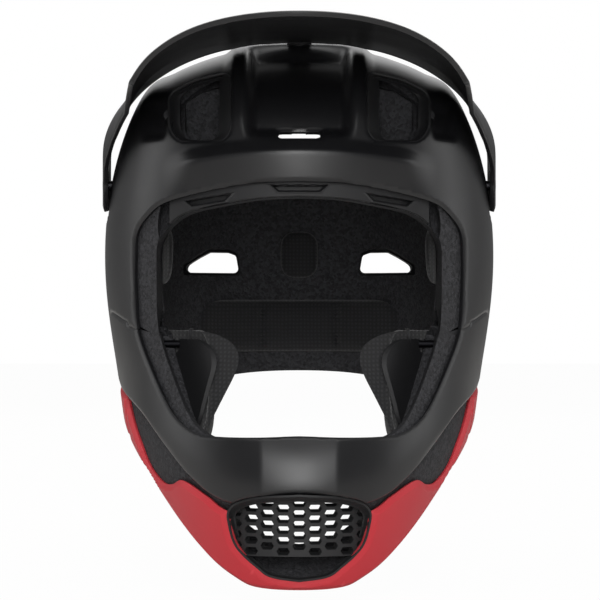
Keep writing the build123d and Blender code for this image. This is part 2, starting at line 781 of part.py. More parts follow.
# Middle screw over the tongue
centre_head_in = tongue_radius + tongue_wall + running_gap
with BuildPart() as visor_screw_middle:
    add(screw_bar(centre_head_in, centre_head_in + centre_head_height, centre_head_radius))
    add(screw_bar(centre_head_in - centre_shank_length, centre_head_in, centre_shank_radius))
    with BuildSketch(screw_plane.offset(centre_head_in + centre_head_height)):
        Rectangle(centre_head_radius * grip_length_share, grip_slot)
    extrude(amount=-centre_head_height / 2, mode=Mode.SUBTRACT)
visor_screw_middle.part.label = "visor_screw_middle"
export_step(visor_screw_middle.part, "parts/visor_screw_middle.step")

# Comfort pads on the crown liner
pad_out = crown_in + pad_gap


def wall_pad(thick, outline):
    """A pad on the crown liner's inner wall, with the outline that a cutter gives it."""
    with BuildPart() as pad:
        add(outer_form(pad_out))
        add(outer_form(pad_out + thick), mode=Mode.SUBTRACT)
        add(outline, mode=Mode.INTERSECT)
    return pad.part


def rear_block(half_width, low, height, corner):
    """A rounded block that narrows towards the head, for the pads at the back."""
    with BuildPart() as block:
        with BuildSketch(Plane.XZ.offset(-shell_rear)):
            with Locations((0, low + height / 2)):
                RectangleRounded(2 * half_width, height, corner)
        extrude(amount=block_depth, taper=pad_taper)
    return block.part


with BuildPart() as nape_pad:
    add(wall_pad(band_pad, rear_block(band_half_width, band_top - band_height, band_height, band_corner)))
nape_pad.part.label = "nape_pad"
export_step(nape_pad.part, "parts/nape_pad.step")

with BuildPart() as rear_pad:
    add(wall_pad(centre_pad, rear_block(centre_pad_half_width, centre_pad_low, centre_pad_height,
                                        centre_pad_corner)))
rear_pad.part.label = "rear_pad"
export_step(rear_pad.part, "parts/rear_pad.step")

with BuildPart() as crown_block:
    with BuildSketch(Plane.XY.offset(shell_top)):
        with Locations((0, (crown_pad_rear - crown_pad_front) / 2)):
            RectangleRounded(2 * crown_pad_half_width, crown_pad_front + crown_pad_rear, crown_pad_corner)
    extrude(amount=crown_pad_floor - shell_top, taper=pad_taper)
with BuildPart() as crown_pad:
    add(wall_pad(crown_pad_wall, crown_block.part))
crown_pad.part.label = "crown_pad"
export_step(crown_pad.part, "parts/crown_pad.step")

with BuildPart() as brow_block:
    with BuildSketch(Plane.XZ.offset(shell_front)):
        with Locations((0, brow_pad_low + brow_pad_height / 2)):
            RectangleRounded(2 * brow_pad_half_width, brow_pad_height, brow_pad_corner)
    extrude(amount=-(shell_front - brow_pad_start))
with BuildPart() as brow_pad:
    add(wall_pad(brow_pad_wall, brow_block.part))
brow_pad.part.label = "brow_pad"
export_step(brow_pad.part, "parts/brow_pad.step")

with BuildPart() as temple_block:
    with BuildSketch(Plane.YZ.offset(shell_half_width)):
        with Locations(((temple_rear - temple_front) / 2, temple_low + temple_height / 2)):
            RectangleRounded(temple_front + temple_rear, temple_height, temple_corner)
    extrude(amount=-block_depth, taper=pad_taper)
with BuildPart() as temple_pad_left:
    add(wall_pad(temple_pad, temple_block.part))
temple_pad_left.part.label = "temple_pad_left"
export_step(temple_pad_left.part, "parts/temple_pad_left.step")
with BuildPart() as temple_pad_right:
    add(temple_pad_left.part.mirror(Plane.YZ))
temple_pad_right.part.label = "temple_pad_right"
export_step(temple_pad_right.part, "parts/temple_pad_right.step")

# Chin strap: flat webbing seen from the front, carried through its width
strap_path = [(anchor_x, anchor_z + strap_end), (strap_side_x, strap_knee_z), (strap_bend_x, strap_bend_z),
              (strap_low_x, strap_low_z), (0, strap_low_z - strap_sag)]
ring_lean_rad = radians(ring_lean)


def along_ring(out, up):
    """A place of the front view, out along the rings from their bars and up square to that."""
    return (ring_x + out * cos(ring_lean_rad) + up * sin(ring_lean_rad),
            ring_z - out * sin(ring_lean_rad) + up * cos(ring_lean_rad))


def web_band(points, bend, thick, width):
    """Webbing along a path of the front view."""
    with BuildPart() as band:
        with BuildSketch(Plane.XZ.offset(-strap_y - width / 2)):
            with BuildLine():
                FilletPolyline(*points, radius=bend)
            trace(line_width=thick)
        extrude(amount=width)
    return band.part


long_path = strap_path + [along_ring(web_lead, -web_below), along_ring(web_cross + web_turn, -web_below),
                          along_ring(web_cross, -web_below + web_turn), along_ring(web_cross, web_above),
                          along_ring(-web_tail, web_above + web_turn)]
long_band = web_band(long_path, web_bend, web_wall, web_width)
short_path = [(-anchor_x, anchor_z + strap_end), (-strap_side_x, strap_knee_z),
              (-strap_bend_x, strap_bend_z),
              along_ring(-loop_back - web_turn, 0), along_ring(-loop_back + web_wall, 0)]
short_band = web_band(short_path, web_bend, web_wall, web_width)
rivet_hole = rivet_bar(anchor_x - overrun, anchor_x + overrun, rivet_shank + running_gap)
with BuildPart() as strap_long:
    add(long_band)
    add(rivet_hole, mode=Mode.SUBTRACT)
strap_long.part.label = "strap_long"
export_step(strap_long.part, "parts/strap_long.step")

# Short strap, with the sewn loop that holds the bars of both rings
with BuildPart() as strap_short:
    add(short_band)
    add(rivet_hole.mirror(Plane.YZ), mode=Mode.SUBTRACT)
    with BuildSketch(Plane.XZ.offset(-strap_y - web_width / 2)):
        with Locations(Location((*along_ring((loop_ahead - loop_back) / 2, 0), 0), -ring_lean)):
            RectangleRounded(loop_ahead + loop_back, 2 * loop_half_height, loop_corner)
            RectangleRounded(loop_ahead + loop_back - 2 * loop_wall, 2 * (loop_half_height - loop_wall),
                             loop_corner - loop_wall, mode=Mode.SUBTRACT)
    extrude(amount=web_width)
strap_short.part.label = "strap_short"
export_step(strap_short.part, "parts/strap_short.step")


def ring_plane(up):
    """The plane of one ring, at its height above the rings' middle."""
    x, z = along_ring(0, up)
    return Plane(origin=(x, strap_y, z), x_dir=(cos(ring_lean_rad), 0, -sin(ring_lean_rad)),
                 z_dir=(sin(ring_lean_rad), 0, cos(ring_lean_rad)))


def d_ring(up):
    """A steel ring: a straight bar through the sewn loop, two arms and a bow with round corners."""
    half = ring_inside / 2
    with BuildPart() as ring:
        with BuildSketch(ring_plane(up)):
            for margin, mode in ((ring_wire, Mode.ADD), (-ring_wire, Mode.SUBTRACT)):
                near = -margin
                far = ring_reach + margin
                side = half + ring_wire + margin
                bow = ring_bow + margin
                with BuildLine():
                    Polyline((far - bow, -side), (near, -side), (near, side), (far - bow, side))
                    TangentArc((far - bow, side), (far, side - bow), tangent=(1, 0))
                    Line((far, side - bow), (far, bow - side))
                    TangentArc((far, bow - side), (far - bow, -side), tangent=(0, -1))
                make_face(mode=mode)
        extrude(amount=ring_wire, both=True)
        chamfer(ring.edges().filter_by(ring_plane(up)), ring_wire * ring_round_share)
    return ring.part


with BuildPart() as ring_upper:
    add(d_ring(ring_step / 2))
ring_upper.part.label = "ring_upper"
export_step(ring_upper.part, "parts/ring_upper.step")
with BuildPart() as ring_lower:
    add(d_ring(-ring_step / 2))
ring_lower.part.label = "ring_lower"
export_step(ring_lower.part, "parts/ring_lower.step")

# Rivets that hold the strap's two ends, through the foam to the shell
with BuildPart() as strap_rivets:
    shank = rivet_bar(anchor_x - web_wall, rivet_end_x, rivet_shank)
    head = rivet_bar(anchor_x - web_wall / 2 - pad_gap - rivet_height, anchor_x - web_wall / 2 - pad_gap,
                     rivet_radius)
    add(both_sides(head + shank))
strap_rivets.part.label = "strap_rivets"
export_step(strap_rivets.part, "parts/strap_rivets.step")

# Cheek pads: a crowned cushion against the foam, with a groove for the strap
cheek_middle_y = -cheek_front + cheek_length / 2
cheek_middle_z = -cheek_top - cheek_height / 2
cheek_pad_out = chin_in + fit_gap + cheek_plate_wall + fit_gap
rivet_room = rivet_bar(anchor_x - overrun / 2, anchor_x + overrun / 2, rivet_radius + groove_gap)
groove_wall = web_wall + 2 * groove_gap
groove_width = web_width + 2 * groove_gap
long_groove = web_band(strap_path, web_bend, groove_wall, groove_width)
short_groove = web_band(short_path[:3], web_bend, groove_wall, groove_width).mirror(Plane.YZ)


def cheek_pad(groove):
    """The left cheek's cushion, from its head side outwards to the plate."""
    with BuildPart() as pad:
        for reach, share in cheek_shares:
            x = cheek_inner_x + reach * (cheek_outer_x - cheek_inner_x)
            with BuildSketch(Plane.YZ.offset(x)):
                with Locations((cheek_middle_y, cheek_middle_z)):
                    RectangleRounded(cheek_length * share, cheek_height * share, cheek_corner * share)
        loft()
        add(outer_form(cheek_pad_out), mode=Mode.INTERSECT)
        add(groove, mode=Mode.SUBTRACT)
        add(rivet_room, mode=Mode.SUBTRACT)
    return pad.part


def cheek_plate(groove):
    """The plastic plate behind the left cheek's cushion."""
    with BuildPart() as plate:
        with BuildSketch(Plane.YZ):
            with Locations((cheek_middle_y + plate_shift, cheek_middle_z)):
                RectangleRounded(cheek_length * plate_share, cheek_height * plate_share, cheek_corner)
        extrude(amount=shell_half_width)
        add(outer_form(chin_in + fit_gap), mode=Mode.INTERSECT)
        add(outer_form(chin_in + fit_gap + cheek_plate_wall), mode=Mode.SUBTRACT)
        add(groove, mode=Mode.SUBTRACT)
        add(rivet_room, mode=Mode.SUBTRACT)
    return plate.part


with BuildPart() as cheek_pad_left:
    add(cheek_pad(long_groove))
cheek_pad_left.part.label = "cheek_pad_left"
export_step(cheek_pad_left.part, "parts/cheek_pad_left.step")
with BuildPart() as cheek_pad_right:
    add(cheek_pad(short_groove).mirror(Plane.YZ))
cheek_pad_right.part.label = "cheek_pad_right"
export_step(cheek_pad_right.part, "parts/cheek_pad_right.step")
with BuildPart() as cheek_plate_left:
    add(cheek_plate(long_groove))
cheek_plate_left.part.label = "cheek_plate_left"
export_step(cheek_plate_left.part, "parts/cheek_plate_left.step")
with BuildPart() as cheek_plate_right:
    add(cheek_plate(short_groove).mirror(Plane.YZ))
cheek_plate_right.part.label = "cheek_plate_right"
export_step(cheek_plate_right.part, "parts/cheek_plate_right.step")
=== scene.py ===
import bmesh
import bpy
import numpy as np
from math import radians
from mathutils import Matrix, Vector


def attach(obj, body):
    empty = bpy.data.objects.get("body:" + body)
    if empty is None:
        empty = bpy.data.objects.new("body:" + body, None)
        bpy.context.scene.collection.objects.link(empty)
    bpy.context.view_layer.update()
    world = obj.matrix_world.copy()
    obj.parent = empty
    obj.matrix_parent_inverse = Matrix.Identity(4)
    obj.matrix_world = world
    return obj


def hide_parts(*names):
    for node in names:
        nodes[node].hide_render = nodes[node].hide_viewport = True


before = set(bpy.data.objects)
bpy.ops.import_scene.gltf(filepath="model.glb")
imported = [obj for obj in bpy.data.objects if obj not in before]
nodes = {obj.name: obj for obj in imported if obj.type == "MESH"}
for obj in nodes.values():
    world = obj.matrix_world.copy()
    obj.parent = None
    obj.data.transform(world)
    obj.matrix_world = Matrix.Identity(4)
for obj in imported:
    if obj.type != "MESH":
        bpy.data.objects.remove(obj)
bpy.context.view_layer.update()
mm = 0.001
print("frame loaded")

# camera, light and floor, in metres
stage = {"distance": 1.4, "lens": 135.5, "sensor": 36, "shiftX": 0.8 / 600, "shiftY": -0.2 / 600,
         "near": 0.05, "far": 40, "floor": -0.1665, "floorSize": 9, "worldLight": 0.22,
         "floorColour": "#efedea", "floorGlow": 0.975}
white = (1, 1, 1, 1)


def tint(code):
    # sRGB hex to linear: divided by 12.92 near black, a 2.4 power above it
    parts = [int(code[i:i + 2], 16) / 255 for i in (1, 3, 5)]
    return tuple(p / 12.92 if p <= 0.04045 else ((p + 0.055) / 1.055) ** 2.4 for p in parts) + (1,)


def addNode(tree, kind, inputs=None, **settings):
    # one node with its settings; an input is a value or the socket that feeds it
    node = tree.nodes.new("ShaderNode" + kind)
    for key, value in settings.items():
        setattr(node, key, value)
    for key, value in (inputs or {}).items():
        if isinstance(value, bpy.types.NodeSocket):
            tree.links.new(value, node.inputs[key])
        else:
            node.inputs[key].default_value = value
    return node


def emptyTree(owner):
    owner.use_nodes = True
    owner.node_tree.nodes.clear()
    return owner.node_tree


def combine(tree, operation, first, second):
    return addNode(tree, "Math", {0: first, 1: second}, operation=operation).outputs[0]


def spread(tree, value, low, high, toLow=0.0, toHigh=1.0):
    return addNode(tree, "MapRange", {"Value": value, "From Min": low, "From Max": high,
                                                "To Min": toLow, "To Max": toHigh}).outputs[0]


scene = bpy.context.scene
camera = bpy.data.cameras.new("camera")
camera.lens, camera.sensor_width = stage["lens"], stage["sensor"]
camera.shift_x, camera.shift_y = stage["shiftX"], stage["shiftY"]
camera.clip_start, camera.clip_end = stage["near"], stage["far"]
cameraObject = bpy.data.objects.new("camera", camera)
cameraObject.location = (0, -stage["distance"], 0)
cameraObject.rotation_euler = (radians(90), 0, 0)
scene.collection.objects.link(cameraObject)
scene.camera = cameraObject
scene.view_settings.view_transform = "Standard"

lamps = {  # name: (place, what it points at, size, watts)
    "overhead": ((0, -0.35, 1.5), (0, 0, 0), (1.5, 1.1), 11),
    "front": ((0, -2.1, 0.3), (0, -0.1, 0), (0.5, 2.4), 34),
    "left": ((-1.6, 0.3, 0.5), (0, 0, 0), (0.8, 1.2), 4),
    "right": ((1.6, 0.3, 0.5), (0, 0, 0), (0.8, 1.2), 4),
    "back": ((0, 1.6, 0.9), (0, 0, 0), (1.4, 0.9), 6),
}

for name, (place, target, size, watts) in lamps.items():
    data = bpy.data.lights.new(name, "AREA")
    data.shape, data.size, data.size_y, data.energy = "RECTANGLE", size[0], size[1], watts
    lamp = bpy.data.objects.new(name, data)
    lamp.location = place
    lamp.rotation_euler = (Vector(target) - Vector(place)).to_track_quat("-Z", "Y").to_euler()
    scene.collection.objects.link(lamp)

# white where the camera sees it, dimmer where it lights
world = bpy.data.worlds.new("studio")
scene.world = world
tree = emptyTree(world)
rays = addNode(tree, "LightPath").outputs
seen = combine(tree, "MAXIMUM", rays["Is Camera Ray"], rays["Is Transmission Ray"])
strength = spread(tree, seen, 0.0, 1.0, stage["worldLight"])
light = addNode(tree, "Background", {"Color": white, "Strength": strength})
addNode(tree, "OutputWorld", {"Surface": light.outputs[0]})

floorMaterial = bpy.data.materials.new("paleStudioFloor")
tree = emptyTree(floorMaterial)
rays = addNode(tree, "LightPath").outputs
seen = combine(tree, "MULTIPLY", rays["Is Camera Ray"], stage["floorGlow"])
matt = addNode(tree, "BsdfDiffuse", {"Color": tint(stage["floorColour"])})
glow = addNode(tree, "Emission", {"Color": white, "Strength": 1.0})
mix = addNode(tree, "MixShader", {0: seen, 1: matt.outputs[0], 2: glow.outputs[0]})
addNode(tree, "OutputMaterial", {"Surface": mix.outputs[0]})
half = stage["floorSize"] / 2
floorMesh = bpy.data.meshes.new("floor")
corners = ((-half, -half), (half, -half), (half, half), (-half, half))
floorMesh.from_pydata([(x, y, stage["floor"]) for x, y in corners], [], [(0, 1, 2, 3)])
floorMesh.materials.append(floorMaterial)
floor = bpy.data.objects.new("floor", floorMesh)
scene.collection.objects.link(floor)
print("camera, light and floor made")


# tools for surfaces; lengths are in millimetres from here on
def smoothStep(low, high, value):
    # 0 at low, 1 at high, 3t^2 - 2t^3 between them
    share = np.clip((value - low) / (high - low), 0, 1)
    return share * share * (3 - 2 * share)


def bell(value, centre, width):
    # 1 at the centre, falling as e to the minus square of the distance over the width
    return np.exp(-((value - centre) / width) ** 2)


def bowed(value, power):
    # a power that keeps the sign
    return np.sign(value) * np.abs(value) ** power


def blend(first, second, share):
    return first * (1 - share) + second * share


def unit(vectors):
    return vectors / np.maximum(np.linalg.norm(vectors, axis=1), 1e-12)[:, None]


def gridPoints(x, y, z):
    return np.stack(np.broadcast_arrays(x, y, z), -1).reshape(-1, 3)


def curveThrough(points, steps=10):
    # a cubic through the points, each slope taken from the points on both sides
    p = np.asarray(points, float)
    p = np.vstack([2 * p[0] - p[1], p, 2 * p[-1] - p[-2]])
    t = np.linspace(0, 1, steps, endpoint=False)[None, :, None]
    a, b, c, d = (p[i:len(p) - 3 + i][:, None, :] for i in range(4))
    line = 0.5 * (2 * b + (c - a) * t + (2 * a - 5 * b + 4 * c - d) * t ** 2
                  + (3 * b - a - 3 * c + d) * t ** 3)
    return np.vstack([line.reshape(-1, p.shape[1]), p[-2]])


def roundCorners(points, radius, steps=6):
    # each corner swapped for a parabola that leaves its two sides one radius before it
    p = np.asarray(points, float)
    sides = [np.roll(p, turn, 0) - p for turn in (1, -1)]
    reach = np.minimum(radius, 0.45 * np.minimum(*(np.linalg.norm(side, axis=1) for side in sides)))
    a, b = ((p + unit(side) * reach[:, None])[:, None] for side in sides)
    t = np.linspace(0, 1, steps)[None, :, None]
    return ((1 - t) ** 2 * a + 2 * t * (1 - t) * p[:, None] + t ** 2 * b).reshape(-1, 2)


def rectangle(half, low, high):
    return [(-half, low), (half, low), (half, high), (-half, high)]


def edgeDistance(across, up, outline):
    # distance to a closed outline, more than 0 outside it: the nearest of its runs, inside by crossings
    best = np.full(across.shape, 1e9)
    inside = np.zeros(across.shape, bool)
    for (ax, ay), (bx, by) in zip(outline, np.roll(outline, -1, 0)):
        dx, dy = bx - ax, by - ay
        t = np.clip(((across - ax) * dx + (up - ay) * dy) / max(dx * dx + dy * dy, 1e-9), 0, 1)
        best = np.minimum(best, (across - ax - t * dx) ** 2 + (up - ay - t * dy) ** 2)
        if abs(dy) > 1e-9:
            inside ^= ((ay > up) != (by > up)) & (across < dx * (up - ay) / dy + ax)
    return np.sqrt(best) * np.where(inside, -1, 1)


def gridFaces(rows, columns, wrap=False):
    # four-sided faces of a grid whose points run along each row; wrap joins the last column to the first
    index = np.arange(rows * columns).reshape(rows, columns)
    right = np.roll(index, -1, 1) if wrap else index[:, 1:]
    left = index if wrap else index[:, :-1]
    return np.stack([left[:-1], right[:-1], right[1:], left[1:]], -1).reshape(-1, 4)


def faceSets(faces):
    return [f for f in (faces if isinstance(faces, list) else [faces]) if len(f)]


def fan(ring, tip):
    # three-sided faces from a ring of points to one point
    return np.stack([ring, np.roll(ring, -1), np.full(len(ring), tip)], 1)


def pointNormals(points, faces):
    # mean of the faces round each point, each weighted by its area
    normals = np.zeros_like(points)
    for group in faceSets(faces):
        a, b = (points[group[:, k]] - points[group[:, j]] for j, k in ((0, 2), (1, -1)))
        for corner in range(group.shape[1]):
            np.add.at(normals, group[:, corner], np.cross(a, b))
    return unit(normals)


def edgeRuns(faces):
    # the edges of each face, in the direction that it runs
    return np.vstack([np.stack([f[:, i], f[:, (i + 1) % f.shape[1]]], 1) for f in faceSets(faces)
                      for i in range(f.shape[1])])


def snapTo(points, faces, field, near=0.3):
    # points that stand close to the line where the field is 0 are moved onto it, so no slivers are left
    runs = np.unique(np.sort(edgeRuns(faces), 1), axis=0)
    runs = runs[(field[runs[:, 0]] > 0) != (field[runs[:, 1]] > 0)]
    moved, level = points.copy(), field.copy()
    for a, b in ((runs[:, 0], runs[:, 1]), (runs[:, 1], runs[:, 0])):
        share = field[a] / (field[a] - field[b])
        close = share < near
        moved[a[close]] = points[a[close]] + (points[b[close]] - points[a[close]]) * share[close, None]
        level[a[close]] = 0
    return moved, level


def splitAlong(points, faces, field, both=False):
    # the faces where the field is more than 0, or both sides, with new points where it crosses 0 on an edge
    keep = field > 0
    done, mixed = [], []
    for group in faceSets(faces):
        count = keep[group].sum(1)
        done.append(group[count == group.shape[1]])
        if both:
            done.append(group[count == 0])
        part = group[(count > 0) & (count < group.shape[1])]
        mixed += [part[:, [0, i, i + 1]] for i in range(1, group.shape[1] - 1)]
    tris = np.vstack(mixed)
    pairs, made = [], [tris[keep[tris].all(1)]]
    if both:
        made.append(tris[~keep[tris].any(1)])

    def crossing(a, b):
        pairs.append(np.stack([np.minimum(a, b), np.maximum(a, b)], 1))
        return -1 - (sum(len(p) for p in pairs[:-1]) + np.arange(len(a)))

    for side in ((keep, ~keep) if both else (keep,)):
        for turn in range(3):
            t = np.roll(tris, -turn, 1)
            one = t[side[t[:, 0]] & ~side[t[:, 1]] & ~side[t[:, 2]]]
            ends = [crossing(one[:, 0], one[:, side]) for side in (1, 2)]
            made.append(np.stack([one[:, 0], *ends], 1))
            two = t[~side[t[:, 0]] & side[t[:, 1]] & side[t[:, 2]]]
            first, second = crossing(two[:, 0], two[:, 1]), crossing(two[:, 0], two[:, 2])
            made.append(np.stack([first, two[:, 1], two[:, 2]], 1))
            made.append(np.stack([first, two[:, 2], second], 1))
    tris, pairs = np.vstack(made), np.vstack(pairs)
    unique, place = np.unique(pairs, axis=0, return_inverse=True)
    place = place.ravel()
    a, b = unique[:, 0], unique[:, 1]
    share = np.clip(field[a] / (field[a] - field[b]), 0, 1)[:, None]
    points = np.vstack([points, blend(points[a], points[b], share)])
    tris = np.where(tris < 0, len(field) + place[np.where(tris < 0, -1 - tris, 0)], tris)
    return weld(*dropLoose(points, done + [tris]))


def weld(points, faces, near=0.002):
    # points closer than the given distance become one, and faces left without area go
    key = np.round(points / near).astype(np.int64)
    unique, first, place = np.unique(key, axis=0, return_index=True, return_inverse=True)
    kept = []
    for group in faceSets(faces):
        group = place.ravel()[group]
        same = (group == np.roll(group, -1, 1)).sum(1)
        kept.append(group[same == 0])
        if group.shape[1] == 4:
            thin = group[same == 1]
            for corner in range(4):
                t = np.roll(thin, -corner, 1)
                kept.append(t[t[:, 0] == t[:, 1]][:, 1:])
    return points[first], kept


def trimmed(points, faces, fields, part):
    # cut to where the fields are more than 0, with a bevel that falls by the drop at the edge
    points, level = snapTo(points, faces, fields(points))
    points, faces = splitAlong(points, faces, level - part["bevel"], both=True)
    points, level = snapTo(points, faces, fields(points), 0.02)
    points, faces = splitAlong(points, faces, level)
    share = 1 - np.clip(fields(points) / part["bevel"], 0, 1)
    return points - pointNormals(points, faces) * (part["bevelDrop"] * share)[:, None], faces


def dropLoose(points, faces):
    used = np.unique(np.concatenate([f.ravel() for f in faceSets(faces)]))
    new = np.full(len(points), -1)
    new[used] = np.arange(len(used))
    return points[used], [new[f] for f in faceSets(faces)]


def openEdges(faces):
    # edges that only one face has
    runs = edgeRuns(faces)
    place, count = np.unique(np.sort(runs, 1), axis=0, return_inverse=True, return_counts=True)[1:]
    return runs[count[place.ravel()] == 1]


def thicken(points, faces, thick, bulge=0.5, steps=4, inward=None):
    # a closed wall: the skin, the skin drawn in along its normals or the inward directions, and a rim
    # bowed out by the bulge
    faces = faceSets(faces)
    normals = pointNormals(points, faces)
    inner = points + (-normals if inward is None else inward) * np.broadcast_to(thick, len(points))[:, None]
    count, runs = len(points), openEdges(faces)
    side = np.cross(points[runs[:, 1]] - points[runs[:, 0]], normals[runs[:, 0]])
    out = np.zeros_like(points)
    for end in (0, 1):
        np.add.at(out, runs[:, end], side)
    rim = np.unique(runs)
    out = unit(out[rim])
    place = np.full(count, -1)
    place[rim] = np.arange(len(rim))
    sets, ids = [points, inner], [np.arange(count)]
    for step in range(1, steps):
        angle = np.pi * step / steps
        lift = (points[rim] - inner[rim]) / 2 * bowed(np.cos(angle), 0.6)
        sets.append((points[rim] + inner[rim]) / 2 + lift + out * (bulge * np.sin(angle) ** 0.6))
        ids.append(2 * count + (step - 1) * len(rim) + place)
    ids.append(np.arange(count) + count)
    strips = [np.stack([a[runs[:, 1]], a[runs[:, 0]], b[runs[:, 0]], b[runs[:, 1]]], 1)
              for a, b in zip(ids[:-1], ids[1:])]
    return np.vstack(sets), faces + [f[:, ::-1] + count for f in faces] + [np.vstack(strips)]


def makePiece(name, form, look, node, body="helmet", sharp=38):
    # form: points in millimetres and faces; look: material and slot, of which only the material is put on
    # the mesh; folds over the sharp angle stay crisp
    mesh = bpy.data.meshes.new(name)
    rows = [row for group in faceSets(form[1]) for row in group.tolist()]
    mesh.from_pydata((form[0] * mm).tolist(), [], rows)
    mesh.validate()
    mesh.shade_smooth()
    mesh.set_sharp_from_angle(angle=radians(sharp))
    mesh.materials.append(look[0])
    piece = bpy.data.objects.new(name, mesh)
    scene.collection.objects.link(piece)
    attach(piece, body)
    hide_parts(node)
    return piece


def joinMeshes(*parts):
    # several (points, faces) laid end to end in one mesh
    points, faces, start = [], [], 0
    for p, f in parts:
        points.append(p)
        faces += [g + start for g in faceSets(f)]
        start += len(p)
    return np.vstack(points), faces


def mirrored(points, faces):
    # the mirror image about the middle plane, its faces turned to point outwards
    return points * np.array([-1, 1, 1]), [f[:, ::-1] for f in faceSets(faces)]


# form of the shell from the top down: height, half width, front reach and rear reach as shares, and
# squareness; a height under 0 is a share of the chin's drop
shell = {"halfWidth": 120, "front": 182, "rear": 140, "top": 158, "chin": 161, "roundPower": 8}
shellRows = ((1.0, 0.14, 0.135, 0.21, 2.1), (0.988, 0.27, 0.215, 0.325, 2.15), (0.965, 0.41, 0.3, 0.43, 2.2),
             (0.925, 0.56, 0.39, 0.54, 2.3), (0.865, 0.705, 0.475, 0.65, 2.4),
             (0.785, 0.8, 0.56, 0.765, 2.35), (0.66, 0.885, 0.635, 0.88, 2.2),
             (0.5, 0.95, 0.675, 0.965, 2.08), (0.29, 0.993, 0.7, 1.0, 2.0), (0.0, 0.987, 0.731, 0.975, 2.0),
             (-0.17, 0.955, 0.802, 0.92, 2.0),
             (-0.335, 0.92, 0.88, 0.853, 2.0), (-0.466, 0.893, 0.955, 0.79, 2.0),
             (-0.6, 0.838, 1.0, 0.735, 2.0), (-0.72, 0.765, 0.99, 0.68, 2.05),
             (-0.83, 0.71, 0.955, 0.63, 2.1), (-1.1, 0.62, 0.83, 0.52, 2.2))


def shellLevels(inset):
    # the pole and the rows in millimetres, drawn in by the inset, less and less above the middle
    top = shell["top"] - inset
    rows = [(top * 1.001, 0, 0, 0, 2.1)]
    for level, width, front, rear, square in shellRows:
        drawIn = inset * (1 - max(level, 0) ** shell["roundPower"])
        rows.append((level * (top if level > 0 else shell["chin"]), width * shell["halfWidth"] - drawIn,
                     front * shell["front"] - drawIn, rear * shell["rear"] - drawIn, square))
    return np.array(rows)


formTables = {}


def formTable(inset):
    # a natural cubic through the levels over their run; its second slopes m come from the rows
    # h0 m0 + 2 (h0 + h1) m1 + h1 m2 = 6 (d1 - d0), where h are the steps of the run and d the slopes
    if inset not in formTables:
        values = shellLevels(inset)
        run = np.concatenate([[0], np.cumsum(np.hypot(np.diff(values[:, 0]), np.diff(values[:, 1])))])
        h = np.diff(run)
        d = np.diff(values, axis=0) / h[:, None]
        system, right = np.eye(len(run)), np.zeros_like(values)
        inner = np.arange(1, len(run) - 1)
        system[inner, inner - 1], system[inner, inner + 1] = h[:-1], h[1:]
        system[inner, inner] = 2 * (h[:-1] + h[1:])
        right[1:-1] = 6 * np.diff(d, axis=0)
        m = np.linalg.solve(system, right)
        at = np.linspace(0, run[-1], 3000)
        i = np.clip(np.searchsorted(run, at, side="right") - 1, 0, len(h) - 1)
        t, step = (at - run[i])[:, None], h[i][:, None]
        table = (values[i] + t * ((values[i + 1] - values[i]) / step - step * (2 * m[i] + m[i + 1]) / 6)
                 + t ** 2 * m[i] / 2 + t ** 3 * (m[i + 1] - m[i]) / (6 * step))
        table[:, 0] = np.minimum.accumulate(table[:, 0])
        formTables[inset] = at, table
    return formTables[inset]


def levelAt(z, inset=0):
    # half width, front, rear and squareness at a height
    at, table = formTable(inset)
    return [np.interp(-z, -table[:, 0], np.maximum(table[:, k], 0.01)) for k in range(1, 5)]


def shellGrid(turns, low, high, rows, inset=0):
    # sections |x/w|^n + |y/e|^n = 1 from high to low, evenly spaced along the side's arc
    at, table = formTable(inset)
    start, end = (np.interp(-z, -table[:, 0], at) for z in (high, low))
    places = np.linspace(start, end, rows)
    z, w, f, r, n = (np.interp(places, at, table[:, k])[:, None] for k in range(5))
    angle = 2 * np.pi * turns[None, :]
    across, along = np.sin(angle), np.cos(angle)
    y = np.where(along < 0, f, r) * bowed(along, 2 / n)
    return np.stack(np.broadcast_arrays(w * bowed(across, 2 / n), y, z), -1)


def skinPatch(part, turns, lift=None, inset=0, wrap=False):
    # points and faces of the form between a part's heights, raised along the normals by the lift
    grid = shellGrid(turns, part["low"], part["high"], part["rows"], inset)
    points, quads = grid.reshape(-1, 3), gridFaces(*grid.shape[:2], wrap=wrap)
    if lift:
        points = points + pointNormals(points, [quads]) * lift(points)[:, None]
    return points, quads


def shellY(x, z, inset=0, back=False):
    # how far forward or back the form reaches at a place of the front view
    w, f, r, n = levelAt(z, inset)
    reach = np.clip(1 - (np.abs(x) / w) ** n, 0, 1) ** (1 / n)
    return r * reach if back else -f * reach


def shellX(y, z, inset=0):
    w, f, r, n = levelAt(z, inset)
    return w * np.clip(1 - (np.abs(y) / np.where(y < 0, f, r)) ** n, 0, 1) ** (1 / n)


def shellZ(x, y, inset=0):
    # the height over a place of the plan, found by halving
    low, high = np.zeros_like(x), np.full_like(x, shell["top"] - inset)
    for _ in range(24):
        middle = (low + high) / 2
        w, f, r, n = levelAt(middle, inset)
        reach = np.maximum(np.where(y < 0, f, r), 1)
        inside = (np.abs(x) / np.maximum(w, 1)) ** n + (np.abs(y) / reach) ** n < 1
        low, high = np.where(inside, middle, low), np.where(inside, high, middle)
    return low


def turnSpread(count, first=0.0, last=1.0, dense=1.0):
    # places round the shell from the nape, 0, by the wearer's left to the face, 0.5, closer at the face
    fine = np.linspace(first, last, 4000)
    weight = 1 + dense * bell(fine, 0.5, 0.2)
    total = np.concatenate([[0], np.cumsum((weight[1:] + weight[:-1]) / 2)])
    return np.interp(np.linspace(0, total[-1], count), total, fine)


def sideCurve(shares):
    # a line of the side view from shares of the front reach and the chin drop
    return curveThrough([(-forward * shell["front"], level * shell["chin"]) for forward, level in shares])


def sideOf(p, line, drop=400):
    # distance to what lies under a line of the side view, more than 0 outside it
    return edgeDistance(p[:, 1], p[:, 2], np.vstack([line, [line[-1][0], -drop], [line[0][0], -drop]]))


